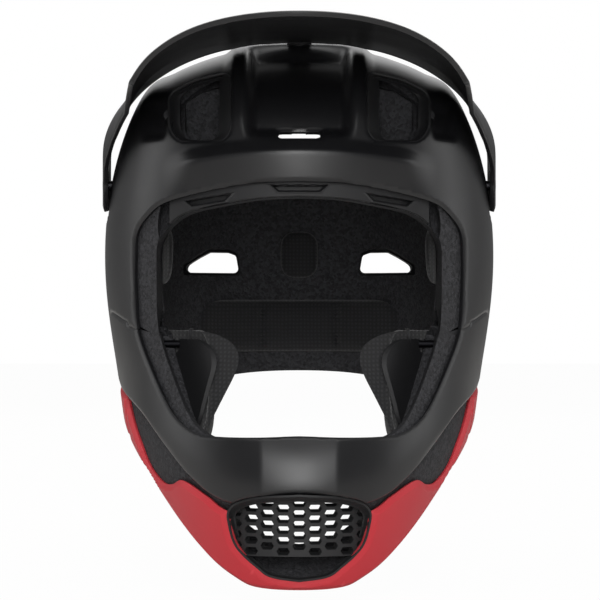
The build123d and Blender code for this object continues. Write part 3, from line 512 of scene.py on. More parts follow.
def cutWhere(there, across, up, outline, far=60):
    # distance to an outline, for the points that it goes through
    return np.where(there, edgeDistance(across, up, outline), far)


def bothSides(right):
    return np.vstack([right, right[-2:0:-1] * [-1, 1]])


def frontOutline(shares, width, high, low):
    # a face opening from its right half, from the middle of the brow to the middle of the chin
    return bothSides(curveThrough([(across * width, up * (high if up > 0 else low))
                                   for across, up in shares]))


crownEdge = sideCurve(((-0.85, -0.1), (-0.35, -0.235), (0, -0.315), (0.275, -0.348), (0.49, -0.404),
                       (0.65, -0.503), (0.755, -0.584), (0.865, -0.668), (1.06, -0.76)))
bladeEdge = sideCurve(((0.275, -0.348), (0.335, -0.43), (0.41, -0.522), (0.46, -0.605), (0.56, -0.655),
                       (0.65, -0.655), (0.735, -0.633), (0.83, -0.675), (0.89, -0.723), (1.06, -0.8)))
redRear = sideCurve(((-0.85, -0.103), (-0.35, -0.238), (0, -0.318), (0.275, -0.351)))
rimLine = sideCurve(((-0.85, -0.235), (-0.33, -0.323), (0, -0.41), (0.385, -0.59), (0.63, -0.79),
                     (0.8, -0.945), (0.87, -0.995), (1.06, -1.0)))
chinSeam = sideCurve(((0.12, -0.36), (0.1, -0.2), (0.155, -0.055), (0.36, -0.08), (0.46, -0.112),
                      (1.2, -0.2)))
portShares = ((0, 1), (0.3, 0.98), (0.58, 0.918), (0.8, 0.843), (0.905, 0.745), (0.985, 0.59), (1, 0.37),
              (0.997, 0.05), (0.975, -0.25), (0.88, -0.545), (0.745, -0.845), (0.61, -0.975), (0.45, -1),
              (0, -0.985))
port = {"half": 97.5, "high": 67.6, "low": 75.5}
portOutline = frontOutline(portShares, port["half"], port["high"], port["low"])
mouth = {"half": 40, "top": -104.8, "height": 50.5}
mouthShares = ((0, 0), (0.55, 0.03), (0.86, 0.1), (1, 0.21), (0.99, 0.37), (0.92, 0.57), (0.8, 0.7),
               (0.6, 0.84), (0.4, 0.95), (0, 1))
ventShares = ((0, 0.14), (0.12, 0), (0.82, 0.02), (0.97, 0.22), (1, 0.76), (0.6, 0.95), (0.02, 1.06))
rearVentShares = ((0, 0), (0.06, 0.86), (0.22, 1), (0.56, 1), (0.74, 0.75), (1, 0.33), (0.98, 0))
rearVent = [(38.5 + across * 38, 16 + up * 17.5) for across, up in rearVentShares]


def mouthOutline(drawIn):
    wide, tall = mouth["half"] - drawIn, mouth["height"] - 2 * drawIn
    return bothSides(curveThrough([(across * wide, mouth["top"] - drawIn - down * tall)
                                   for across, down in mouthShares]))


def ventOutline(low, side, top, drawIn):
    # one front vent, on the wearer's left, drawn in at its foot, side, top and inner edge
    return [(39 + drawIn + across * (37.5 - side - drawIn), 90.5 + low + up * (44 - top - low))
            for across, up in ventShares]


print("form of the shell worked out")


def newMaterial(name, roughness, **constants):
    material = bpy.data.materials.new(name)
    tree = emptyTree(material)
    shader = addNode(tree, "BsdfPrincipled", {"Roughness": roughness, **constants})
    addNode(tree, "OutputMaterial", {"Surface": shader.outputs[0]})
    return material, tree, shader.inputs, addNode(tree, "TexCoord").outputs["Object"]


def setColour(tree, inputs, factor, first, second):
    mix = addNode(tree, "Mix", {0: factor, 6: tint(first), 7: tint(second)}, data_type="RGBA")
    tree.links.new(mix.outputs[2], inputs["Base Color"])


def setBump(tree, inputs, height, strength, distance):
    bump = addNode(tree, "Bump", {"Height": height, "Strength": strength, "Distance": distance})
    tree.links.new(bump.outputs[0], inputs["Normal"])


def setRoughness(tree, inputs, value, low, high):
    tree.links.new(spread(tree, value, 0.3, 0.7, low, high), inputs["Roughness"])


def noise(tree, where, scale, detail):
    inputs = {"Vector": where, "Scale": scale, "Detail": detail}
    return addNode(tree, "TexNoise", inputs).outputs[0]


def bands(tree, where, scale, direction, **more):
    return addNode(tree, "TexWave", {"Vector": where, "Scale": scale, **more}, wave_type="BANDS",
                   bands_direction=direction).outputs["Fac"]


def mouldedShell(name, main, edgeHighlight, roughness, gloss=0.5):
    # painted polycarbonate: satin, a fine orange peel, edges and high places painted a little lighter in
    # patches as a painted highlight
    material, tree, inputs, where = newMaterial(name, roughness, **{"Specular IOR Level": gloss})
    cloud = noise(tree, where, 38.0, 3.0)
    edge = addNode(tree, "NewGeometry").outputs["Pointiness"]
    # painted highlight: convex edges, found by pointiness, take the lighter colour in cloudy patches
    setColour(tree, inputs, combine(tree, "MULTIPLY", spread(tree, edge, 0.52, 0.6), cloud), main, edgeHighlight)
    # peel of the paint, 0.9 mm across
    setBump(tree, inputs, noise(tree, where, 1100.0, 1.0), 0.06, 0.0002)
    setRoughness(tree, inputs, cloud, roughness - 0.025, roughness + 0.035)
    return material


def beadedFoam():
    # expanded polystyrene, moulded: small beads pressed flat against each other, dull
    material, tree, inputs, where = newMaterial("expandedPolystyreneBeads", 0.82,
                                                **{"Specular IOR Level": 0.3})
    cells = addNode(tree, "TexVoronoi", {"Vector": where, "Scale": 640.0}).outputs
    shade = addNode(tree, "SeparateColor", {"Color": cells["Color"]}).outputs[0]
    setColour(tree, inputs, shade, "#262628", "#3d3d40")
    setBump(tree, inputs, spread(tree, cells["Distance"], 0.25, 0.6, 1.0, 0.0), 0.5, 0.0005)
    return material


def mouldedNylon(name, colour, light, roughness):
    # glass-filled nylon, spark-eroded mould: matt, an even fine grain
    material, tree, inputs, where = newMaterial(name, roughness)
    grain = noise(tree, where, 1600.0, 2.0)
    setColour(tree, inputs, grain, colour, light)
    setBump(tree, inputs, grain, 0.18, 0.0002)
    return material


def knittedCover():
    # brushed polyester knit over foam: fine rows of loops, a soft sheen at the edges
    material, tree, inputs, where = newMaterial("brushedPolyesterKnit", 0.85,
                                                **{"Sheen Weight": 0.25, "Sheen Roughness": 0.5})
    rows, loops = (bands(tree, where, 130.0, way, Distortion=1.2, Detail=1.0) for way in "ZX")
    knit = combine(tree, "MULTIPLY", rows, loops)
    setColour(tree, inputs, knit, "#141416", "#28282b")
    setBump(tree, inputs, knit, 0.5, 0.0004)
    return material


def wovenWebbing():
    # nylon webbing: ribs along the strap, from its own map
    material, tree, inputs, where = newMaterial("wovenNylonWebbing", 0.7, **{"Sheen Weight": 0.1})
    lengths = addNode(tree, "UVMap", uv_map="weave").outputs[0]
    ribs = bands(tree, lengths, 100.0, "DIAGONAL")
    setColour(tree, inputs, ribs, "#0d0d0f", "#232326")
    setBump(tree, inputs, ribs, 0.6, 0.0004)
    return material


def turnedMetal(name, colour, light, roughness):
    # turned or drawn metal: fine lines left by the tool, a little dull in places
    material, tree, inputs, where = newMaterial(name, roughness, Metallic=1.0)
    lines = noise(tree, where, 900.0, 3.0)
    setColour(tree, inputs, lines, colour, light)
    setRoughness(tree, inputs, lines, roughness - 0.06, roughness + 0.1)
    return material


# looks of the pieces made here: material and slot
# the second colour of each shell is its painted edge highlight
blackShell = mouldedShell("satinBlackPolycarbonate", "#151517", "#242426", 0.36), "black_shell"
redShell = mouldedShell("satinRedPolycarbonate", "#c83a42", "#dd5259", 0.5, 0.22), "red_shell"
foam = beadedFoam(), "foam"
blackPlastic = mouldedNylon("mattBlackNylon", "#131315", "#1e1e20", 0.62), "black_plastic"
padCover = knittedCover(), "pad_fabric"
webbing = wovenWebbing(), "webbing"
screwMetal = turnedMetal("blackAnodisedAluminium", "#2a2a2c", "#3a3a3d", 0.4)
bushMetal = turnedMetal("turnedBrass", "#b08d4f", "#c9a766", 0.35)
darkSteel = turnedMetal("blackenedSteel", "#171719", "#232326", 0.5)
ringSteel = turnedMetal("brushedStainlessSteel", "#a9a9ab", "#c4c4c6", 0.3)

for material, names in ((foam[0], ["crown_liner"]), (bushMetal, ["visor_bushes"]),
                        (darkSteel, ["strap_rivets"]),
                        (blackPlastic[0], ["rear_vent_sleeves", "cheek_plate_left", "cheek_plate_right"]),
                        (screwMetal, ["visor_screw_left", "visor_screw_right", "visor_screw_middle"]),
                        (ringSteel, ["ring_upper", "ring_lower"])):
    for name in names:
        nodes[name].data.materials.clear()
        nodes[name].data.materials.append(material)
print("materials made")


hingeY, hingeZ = -15, 70
crown = {"turns": 270, "rows": 170, "low": -36, "high": shell["top"] * 1.0009, "pole": shell["top"] * 1.001,
         "ridge": 0.7, "channel": 8.5, "channelHalf": 30, "channelFoot": 92, "channelHead": 151,
         "sideDrop": 2.9, "shoulder": 0.6, "browTop": 83, "browCrest": 4.6, "scoop": 3.0, "wall": 2.56,
         "bevel": 1.5, "bevelDrop": 0.6, "pocketRadius": 23, "pocketX": 115.9, "hole": 3.5, "rimBulge": 0.8}


def hingeArc(radius, turn):
    return hingeY + radius * np.cos(turn), hingeZ + radius * np.sin(turn)


def hingeDistance(p):
    return np.hypot(p[:, 1] - hingeY, p[:, 2] - hingeZ)


def finishSkin(points, faces, fields, part):
    return thicken(*trimmed(points, faces, fields, part), part["wall"], part["rimBulge"])


def plateau(value, low, high, soft):
    # 1 between low and high, 0 outside, with a soft step centred on each
    half = soft / 2
    return smoothStep(low - half, low + half, value) * smoothStep(high + half, high - half, value)


def crownRelief(x, y, z):
    # outward lift: flat ridges beside a sunk channel, hollows, shoulders, side scoops and the brow
    side = np.abs(x)
    ahead = smoothStep(-5, 30, -y)
    lift = crown["ridge"] * plateau(side, 32, 39, 4) * smoothStep(94, 108, z) * (0.3 + 0.7 * ahead)
    channel = smoothStep(crown["channelHalf"] + 2, crown["channelHalf"] - 5, side)
    channel = channel * smoothStep(crown["channelFoot"] - 1, crown["channelFoot"] + 9, z)
    channel = channel * smoothStep(crown["channelHead"] + 1, crown["channelHead"] - 4, z)
    lift -= crown["channel"] * channel * smoothStep(20, 30, -y)
    lift -= crown["sideDrop"] * smoothStep(38, 46, side) * smoothStep(90, 76, side) * smoothStep(98, 114, z)
    lift += crown["shoulder"] * bell(side, 93, 7) * smoothStep(92, 112, z)
    scoop = plateau(side, 79, 92, 5) * smoothStep(92, 99, z) * smoothStep(120, 110, z)
    lift -= crown["scoop"] * scoop * ahead
    crease = crown["browTop"] - 4 * (side / 55) ** 2
    band = np.clip((z - crease + 15.5) / 15, 0, 1) * np.clip((crease + 9 - z) / 8.5, 0, 1)
    return lift + crown["browCrest"] * band * smoothStep(80, 56, side) * ahead


def crownFields(p):
    # how far inside the crown's outline each point is: the least of the distances to its cuts
    x, y, z = p.T
    side = np.abs(x)
    return np.minimum.reduce([
        cutWhere(y < -25, x, z, portOutline),
        cutWhere(y < -30, side, z, roundCorners(ventOutline(0, 0, 4.5, 0), 5)),
        cutWhere(y > 40, side, z, roundCorners(rearVent, 4)),
        cutWhere(y < -60, x, z, roundCorners(rectangle(12.5, 92, 97), 2.4)),
        cutWhere(y > 30, x, z, roundCorners(rectangle(17, 103, 116.5), 4)),
        sideOf(p, crownEdge), sideOf(p, chinSeam) - 0.5, hingeDistance(p) - crown["hole"]])


def makeCrownShell():
    turns = turnSpread(crown["turns"], dense=1.6)[:-1]
    points, quads = skinPatch(crown, turns, wrap=True)
    ring = np.arange(len(turns))
    cap = fan(ring, len(points))[:, ::-1]
    points = np.vstack([points, [[0, points[ring, 1].mean(), crown["pole"]]]])
    normals = pointNormals(points, [quads])
    normals[-1] = (0, 0, 1)
    points = points + normals * crownRelief(*points.T)[:, None]
    # shallow seats for the visor's wings, flat and set back to one depth
    seat = smoothStep(crown["pocketRadius"] + 2, crown["pocketRadius"] - 1, hingeDistance(points))
    limit = crown["pocketX"] + (1 - seat) * 10
    points[:, 0] = np.clip(points[:, 0], -limit, limit)
    return finishSkin(points, [quads, cap], crownFields, crown)


makePiece("crown_outer_skin", makeCrownShell(), blackShell, "crown_shell")
print("crown shell made")


chin = {"turns": 230, "rows": 130, "high": 0, "low": -150, "panelHalf": 21, "panelFlat": 2.6,
        "turnUnder": 0.3, "turnUnderMost": 6.0, "bevel": 1.4, "bevelDrop": 0.5, "rimBulge": 0.7, "wall": 2.6}
chinCrease = curveThrough([(118, -38), (110, -48), (102, -57), (91, -66), (81, -75), (72, -84.5), (64, -94),
                           (56, -101), (49, -106.5), (40, -109.5), (28, -107), (14, -104.2), (0, -103.6)])
underCrease = np.vstack([chinCrease, [0, -400], [400, -400], [400, -38]])


def chinLift(p):
    # outward lift: a panel flattened in the middle and a face that turns under at the crease
    x, z = np.abs(p[:, 0]), p[:, 2]
    under = np.maximum(0, -edgeDistance(x, z, underCrease))
    panel = np.clip(1 - (x / chin["panelHalf"]) ** 2, 0, 1) * smoothStep(-66, -74, z)
    most = chin["turnUnderMost"] * (0.42 + 0.58 * smoothStep(70, 58, x))
    return -chin["panelFlat"] * panel - np.minimum(most, chin["turnUnder"] * under)


def chinFields(p):
    x, y, z = p.T
    return np.minimum.reduce([cutWhere(y < -25, x, z, portOutline), cutWhere(y < -60, x, z, mouthOutline(0)),
                              sideOf(p, crownEdge), -sideOf(p, chinSeam)])


chinForm = finishSkin(*skinPatch(chin, turnSpread(chin["turns"], 0.2, 0.8), chinLift), chinFields, chin)
makePiece("chin_bar_skin", chinForm, blackShell, "chin_bar")

red = {"turns": 330, "rows": 130, "high": -8, "low": -164, "bevel": 3.0, "bevelDrop": 1.8, "wall": 2.8,
       "rimBulge": 0.4}


def redFields(p):
    x, y, z = p.T
    top = np.where(y > -50.05, -sideOf(p, redRear), -sideOf(p, bladeEdge))
    return np.minimum.reduce([top, cutWhere(y < -60, x, z, mouthOutline(0)), sideOf(p, rimLine)])


redTurns = turnSpread(red["turns"], dense=0.9)[:-1]
redForm = finishSkin(*skinPatch(red, redTurns, wrap=True), redFields, red)
makePiece("lower_shell_skin", redForm, redShell, "lower_shell", sharp=30)

foamWall = {"turns": 210, "rows": 120, "high": 12, "low": -164, "inset": 3.5, "depth": 22, "bevel": 1.6,
            "bevelDrop": 0.5, "portHalf": 83, "portHigh": 58.5, "portLow": 77.5, "mouthZ": -118,
            "rise": 0.022, "narrow": 0.008, "underFrom": 68, "underTo": 58}
foamPort = frontOutline(portShares, foamWall["portHalf"], foamWall["portHigh"], foamWall["portLow"])


def foamFields(p):
    # port, mouth, rim and seam
    x, y, z = p.T
    return np.stack([cutWhere(y < -25, x, z, foamPort), cutWhere(y < -60, x, z, mouthOutline(0.6)),
                     sideOf(p, rimLine) - 0.3, -sideOf(p, chinSeam) - 0.3])


def foamLift(p):
    return chinLift(p) * smoothStep(foamWall["underFrom"], foamWall["underTo"], np.abs(p[:, 0]))


def makeChinFoam():
    patch = skinPatch(foamWall, turnSpread(foamWall["turns"], 0.2, 0.8), foamLift, foamWall["inset"])
    kept, faces = trimmed(*patch, lambda p: foamFields(p).min(0), foamWall)
    # the wall goes in along the normals, but straight back at the face opening and like a bowl at the mouth
    fromPort, fromMouth = foamFields(kept)[:2]
    bowl = np.stack([-kept[:, 0] * foamWall["narrow"], np.ones(len(kept)),
                     (foamWall["mouthZ"] - kept[:, 2]) * foamWall["rise"]], 1)
    inward = blend(-pointNormals(kept, faces), np.array([0, 1, 0]), smoothStep(14, 1, fromPort)[:, None])
    inward = blend(inward, bowl, smoothStep(12, 1, fromMouth)[:, None])
    return thicken(kept, faces, foamWall["depth"], 0.3, 4, inward)


makePiece("chin_foam", makeChinFoam(), foam, "chin_liner", sharp=50)


def funnel(outer, inner, depth, part):
    # a wall between an outline at the shell and one deeper in, steep first
    share = np.linspace(0, 1, part["rows"])[:, None]
    x, z = (blend(outer[None, :, k], inner[None, :, k], share) for k in (0, 1))
    y = shellY(x, z, part["inset"]) + part["back"] + depth * (1 - (1 - share) ** 1.5)
    quads = gridFaces(part["rows"], len(outer), wrap=True)[:, ::part["turn"]]
    return thicken(gridPoints(x, y, z), [quads], part["wall"], part["bulge"])


# from the mouth's edge in the skin, narrow at the sides and short at the foot
rim = {"rows": 10, "inset": 2.0, "edge": 1.7, "side": 5.0, "foot": 2.6, "depth": 8.0, "footDepth": 3.0,
       "back": 0.0, "turn": -1, "wall": 1.3, "bulge": 0.2}
rimOuter = mouthOutline(rim["edge"])
atFoot = smoothStep(-132, -150, rimOuter[:, 1])
rimInner = blend(mouthOutline(rim["side"]), mouthOutline(rim["foot"]), atFoot[:, None])
rimForm = funnel(rimOuter, rimInner, blend(rim["depth"], rim["footDepth"], atFoot), rim)
makePiece("mouth_rim", rimForm, blackPlastic, "mouth_bezel")
print("chin bar, lower shell, chin foam and mouth rim made")


visor = {"front": 203, "height": 154, "out": 119.9, "wall": 2.9, "foot": 45, "wingRadius": 16, "hole": 8.3,
         "panel": 0.7, "rib": 0.6, "arch": 0.72, "roofHalf": 111, "wingRear": 4, "rows": 150, "columns": 230,
         "bevel": 1.6, "bevelDrop": 0.5}
# reach forward, half width, springing, top and squareness, as shares
visorRows = np.array(((1.06, 0.8, 0.64, 0.997, 2.45), (0.74, 0.829, 0.636, 0.998, 2.45),
                      (0.443, 0.862, 0.623, 1.005, 2.3), (0.296, 0.925, 0.617, 1.012, 2.05),
                      (0.185, 0.988, 0.571, 1.02, 2), (0.11, 1, 0.558, 1.03, 2), (0.02, 1, 0.558, 1.04, 2),
                      (-0.08, 1, 0.558, 1.05, 2)))
visorRear = ((0.937, 0.11), (0.793, 0.222), (0.54, 0.286), (0, 0.3))


def visorGrid():
    # arches |x/w|^n + |h/t|^n = 1 over upright sides, with straight runs between the stations
    reach = np.linspace(1.03, -0.05, visor["rows"])[:, None]
    order = visorRows[::-1]
    width, spring, top, n = (np.interp(reach, order[:, 0], order[:, k]) for k in (1, 2, 3, 4))
    width, spring, top = width * visor["out"], spring * visor["height"], top * visor["height"]
    run = np.linspace(-1, 1, visor["columns"])[None, :]
    turn = np.clip(np.abs(run) / visor["arch"], 0, 1) * np.pi / 2
    down = np.clip((np.abs(run) - visor["arch"]) / (1 - visor["arch"]), 0, 1)
    x = np.sign(run) * width * np.abs(np.sin(turn)) ** (2 / n)
    z = spring + (top - spring) * np.abs(np.cos(turn)) ** (2 / n) - down * (spring - visor["foot"])
    return gridPoints(x, -reach * visor["front"], z), [gridFaces(visor["rows"], visor["columns"])]


def visorFields(p):
    edge = curveThrough([(-reach * visor["front"], level * visor["height"]) for reach, level in (
        (1.06, 0.86), (0.75, 0.785), (0.48, 0.715), (0.3, 0.63), (0.215, 0.555))])
    turn = np.linspace(np.pi, 2 * np.pi, 24)
    wing = np.stack(hingeArc(visor["wingRadius"], turn), 1)
    ends = [(visor["wingRear"], visor["height"]), (visor["wingRear"], 400), (edge[0, 0], 400)]
    side = np.vstack([edge, wing, ends])
    lip = curveThrough([(-94, -147), (-80, -166), (-50, -189), (0, -203), (50, -189), (80, -166),
                        (94, -147)])
    rear = [(visor["roofHalf"], visor["wingRear"])]
    rear += [(across * visor["roofHalf"], -forward * visor["front"]) for across, forward in visorRear]
    back = curveThrough(rear + [(-x, y) for x, y in rear[-2::-1]])
    plan = np.vstack([lip, [(150, -147), (150, visor["wingRear"])], back,
                      [(-150, visor["wingRear"]), (-150, -147)]])
    return np.minimum.reduce([-edgeDistance(p[:, 1], p[:, 2], side), -edgeDistance(p[:, 0], p[:, 1], plan),
                              hingeDistance(p) - visor["hole"]])


def makeVisor():
    kept, faces = trimmed(*visorGrid(), visorFields, visor)
    x, y = np.abs(kept[:, 0]), kept[:, 1]
    # underside: a raised middle panel and a rib either side, on the roof only
    roof = smoothStep(118, 128, kept[:, 2]) * smoothStep(-196, -188, y) * smoothStep(-50, -70, y)
    raised = visor["panel"] * smoothStep(24, 18, x) + visor["rib"] * bell(x, 40, 3.5)
    return thicken(kept, faces, visor["wall"] + roof * raised, 0.3, 5)


def ringWall(inner, outer, near, far, steps=48):
    # a flat ring about the hinge line, from its near face to its far one
    turn = np.linspace(0, 2 * np.pi, steps, endpoint=False)
    points = np.array([[(x, *hingeArc(r, t)) for t in turn]
                       for r, x in ((outer, near), (outer, far), (inner, far), (inner, near))])
    index = np.arange(4 * steps).reshape(4, steps)
    after = np.roll(index, -1, 0)
    faces = [np.stack([a, np.roll(a, -1), np.roll(b, -1), b], 1) for a, b in zip(index, after)]
    return points.reshape(-1, 3), [np.concatenate(faces)]


# degrees about the hinge line from upright, forwards; lengths along the arc
tongue = {"steps": 120, "across": 29, "half": 7, "from": -3, "to": 30.5, "reach": 98.0, "slotAt": 14,
          "slotTurn": 12.2, "slotHalf": 2.15, "wall": 4.0}


def makeTongue():
    # a strip on arcs about the hinge line, with the slot that the middle screw stands in
    angle = np.radians(90 + np.linspace(tongue["from"], tongue["to"], tongue["steps"]))[:, None]
    x = np.linspace(-tongue["half"], tongue["half"], tongue["across"])[None, :]
    points = gridPoints(x, *hingeArc(tongue["reach"], angle))
    run = np.degrees(np.arctan2(hingeY - points[:, 1], points[:, 2] - hingeZ))
    length = np.radians(np.abs(run - tongue["slotAt"]) - tongue["slotTurn"]) * tongue["reach"]
    slot = np.hypot(np.maximum(0, length + tongue["slotHalf"]), points[:, 0]) - tongue["slotHalf"]
    kept, faces = splitAlong(points, [gridFaces(tongue["steps"], tongue["across"])[:, ::-1]], slot)
    return thicken(kept, faces, tongue["wall"], 0.3)


wingSeat = ringWall(3.1, 8.3, 116.5, 118.15)
visorForm = joinMeshes(makeVisor(), makeTongue(), wingSeat, mirrored(*wingSeat))
makePiece("visor_peak", visorForm, blackShell, "visor", "visor")
print("visor made")


bezel = {"rows": 14, "inset": 0, "back": 1.0, "turn": 1, "depth": 11.0, "wall": 1.4, "bulge": 0.3}
bezelForm = funnel(roundCorners(ventOutline(0.3, 0.3, 4.8, 0.3), 5, 10),
                   roundCorners(ventOutline(1.5, 6, 5.5, 7), 4, 10), bezel["depth"], bezel)
makePiece("vent_frame_left", bezelForm, blackPlastic, "vent_bezel_left")
makePiece("vent_frame_right", mirrored(*bezelForm), blackPlastic, "vent_bezel_right")

trim = {"half": 75, "rows": 34, "inset": 3.6, "depth": 2.2, "step": 0.8, "gap": 0.6, "recess": 4.5,
        "lip": 0.5}
# middle, height, half width at the top, half width at the foot, height of the recess, and slope across
trimRecesses = ((0, 63.2, 16.5, 11.5, 4.2, 0.0), (52, 56.9, 14, 9.5, 4.2, -0.14),
                (-52, 56.9, 14, 9.5, 4.2, 0.14))


def makeBrowTrim():
    # a band under the brow on the liner's form, with three sunk air slots that narrow downwards
    rows, columns = trim["rows"], int(2 * trim["half"] / trim["step"])
    x = np.linspace(-trim["half"], trim["half"], columns)[None, :]
    across, up = portOutline[:60].T
    top = np.interp(np.abs(x), across, up) - trim["gap"]
    foot = np.interp(np.abs(x), across * foamWall["portHalf"] / port["half"],
                     up * foamWall["portHigh"] / port["high"]) + trim["gap"]
    z = blend(top, foot, np.linspace(0, 1, rows)[:, None])
    sink = np.zeros_like(z)
    for middle, height, wide, narrow, tall, slope in trimRecesses:
        up = z - height - slope * (x - middle)
        width = np.interp(up, [-tall / 2, tall / 2], [narrow, wide])
        inside = np.minimum(width - np.abs(x - middle), tall / 2 - np.abs(up))
        sink += trim["recess"] * smoothStep(0, 1.1, inside)
        sink -= trim["lip"] * bell(inside, -0.5, 0.6) * (up < tall / 2)
    points = gridPoints(x, shellY(x, z, trim["inset"]) + sink, z)
    return thicken(points, [gridFaces(rows, columns)[:, ::-1]], trim["depth"], 0.2, 3)


makePiece("brow_trim_band", makeBrowTrim(), blackPlastic, "brow_trim", sharp=30)

grille = {"radius": 72, "front": 163, "wall": 5.0, "height": 33, "top": -107.4, "half": 37.4, "pitch": 8.8,
          "rise": 5.9, "cell": 7.5, "cellHeight": 4.1, "tilt": 1.3, "first": 3.4, "step": 0.42, "edge": 2.6,
          "columns": 4, "rows": 4}


def grilleY(x):
    centre = grille["radius"] - grille["front"]
    return centre - np.sqrt(grille["radius"] ** 2 - x ** 2)


def makeGrille():
    # a sheet on an arc with six-sided holes, odd columns half a cell lower
    x = np.arange(-grille["half"], grille["half"] + 0.01, grille["step"])[None, :]
    z = np.arange(grille["top"], grille["top"] - grille["height"], -grille["step"])[:, None]
    points = gridPoints(x, grilleY(x), z)
    px, pz = points[:, 0], points[:, 2]
    column = np.round(px / grille["pitch"])
    down = grille["top"] - grille["first"] - pz - grille["rise"] / 2 * (column % 2)
    row = np.clip(np.round(down / grille["rise"]), 0, grille["rows"])
    dx, dz = np.abs(px - column * grille["pitch"]), np.abs(down - row * grille["rise"])
    # slanted sides face along (0.857, 0.515)
    hole = np.maximum(dz - grille["cellHeight"] / 2, (dx - grille["cell"] / 2) * 0.857 + dz * 0.515)
    hole = np.where(np.abs(column) <= grille["columns"], hole, 9)
    level = np.minimum(hole, -edgeDistance(px, pz, mouthOutline(grille["edge"])))
    quads = [gridFaces(len(z), x.shape[1])[:, ::-1]]
    points, level = snapTo(points, quads, level)
    kept, faces = thicken(*splitAlong(points, quads, level), grille["wall"], 0.25, 4)
    # the cells rise towards the back, so that their lower walls show from the front
    back = kept[:, 1] - grilleY(np.clip(kept[:, 0], -grille["half"], grille["half"]))
    kept[:, 2] += grille["tilt"] * np.clip(back / grille["wall"], 0, 1) - grille["tilt"] / 2
    return kept, faces


makePiece("honeycomb_grille", makeGrille(), blackPlastic, "chin_grille")
print("vents, trim and grille made")


padForm = {"rings": 26, "around": 96, "seam": 0.4, "rear": 0.3, "fill": 0.7, "inset": 32.5}


def roundedRectangle(halfWidth, halfHeight, corner, count):
    # a rounded rectangle as an outline of even steps
    outline = roundCorners([(halfWidth, -halfHeight), (halfWidth, halfHeight), (-halfWidth, halfHeight),
                            (-halfWidth, -halfHeight)], corner * 1.7, 14)
    ring = np.vstack([outline, outline[:1]])
    run = np.concatenate([[0], np.cumsum(np.linalg.norm(np.diff(ring, axis=0), axis=1))])
    at = np.linspace(0, run[-1], count, endpoint=False)
    return np.stack([np.interp(at, run, ring[:, k]) for k in (0, 1)], 1)


def fixNormals(piece):
    # faces turned outwards where the form was laid out the other way round
    work = bmesh.new()
    work.from_mesh(piece.data)
    bmesh.ops.recalc_face_normals(work, faces=work.faces)
    work.to_mesh(piece.data)
    work.free()


def cushion(name, node, wall, centre, half, corner, thick, channels=()):
    # rings from the seam in: the cover rises as the square root of 1 - r^4 and dips at sewn channels
    around, rows = padForm["around"], padForm["rings"] - 1
    share = np.linspace(1, 0, padForm["rings"])[:-1, None, None]
    flat = roundedRectangle(*half, corner, around)[None] * share
    u, v = flat[..., 0], flat[..., 1]
    rise = np.clip(1 - share[..., 0] ** 4, 0, 1) ** 0.5 + 0 * u
    for across, along, length in channels:
        off = np.abs(u * along[1] - v * along[0] - across)
        run = np.abs(u * along[0] + v * along[1])
        rise = rise * (1 - 0.5 * bell(off, 0, 1.4) * smoothStep(length, length - 4, run))
    middle = [np.array([c]) for c in centre]
    sets = [(u + centre[0], v + centre[1], padForm["seam"] + thick * rise),
            (u[1:] + centre[0], v[1:] + centre[1], padForm["rear"] + 0 * rise[1:]),
            (*middle, np.array([padForm["seam"] + thick])), (*middle, np.array([padForm["rear"]]))]
    points = np.vstack([gridPoints(*wall(*one)) for one in sets])
    seam = np.arange(around)
    first, last = seam + rows * around, seam + (rows - 1) * around
    faces = [gridFaces(rows, around, wrap=True), fan(last, len(points) - 2),
             gridFaces(rows - 1, around, wrap=True)[:, ::-1] + rows * around,
             np.stack([np.roll(seam, -1), seam, first, np.roll(first, -1)], 1),
             fan(first + (rows - 2) * around, len(points) - 1)[:, ::-1]]
    piece = makePiece(name, (points, faces), padCover, node, sharp=70)
    fixNormals(piece)


padIn = padForm["inset"]
walls = {  # two places on a wall of the cavity and a depth, to x, y and z
    "rear": lambda x, z, depth: (x, shellY(x, z, padIn, True) - depth, z),
    "front": lambda x, z, depth: (x, shellY(x, z, padIn) + depth, z),
    "left": lambda y, z, depth: (shellX(y, z, padIn) - depth, y, z),
    "right": lambda y, z, depth: (depth - shellX(y, z, padIn), y, z),
    "top": lambda x, y, depth: (x, y, shellZ(x, y, padIn) - depth),
}
temple = ((-7, 27), (35, 17.5), 12, 5.4, [(0, (1, 0), 26)])
cushion("nape_cushion", "nape_pad", walls["rear"], (0, -17), (64, 17), 9, 7.4,
        [(24, (0, 1), 15), (-24, (0, 1), 15)])
cushion("rear_cushion", "rear_pad", walls["rear"], (0, 30), (12.4, 15.5), 8, 5.4)
cushion("crown_cushion", "crown_pad", walls["top"], (0, -5), (28, 43), 18, 6.4, [(0, (0, 1), 36)])
cushion("brow_cushion", "brow_pad", walls["front"], (0, 71), (56, 9.4), 7, 6.4)
cushion("temple_cushion_left", "temple_pad_left", walls["left"], *temple)
cushion("temple_cushion_right", "temple_pad_right", walls["right"], *temple)

cheek = {"inner": 50, "centreY": -71, "centreZ": -53, "halfY": 45, "halfZ": 35, "corner": 20, "rings": 34,
         "around": 120, "inset": 26, "face": 0.62, "drop": 9, "fill": 0.75}


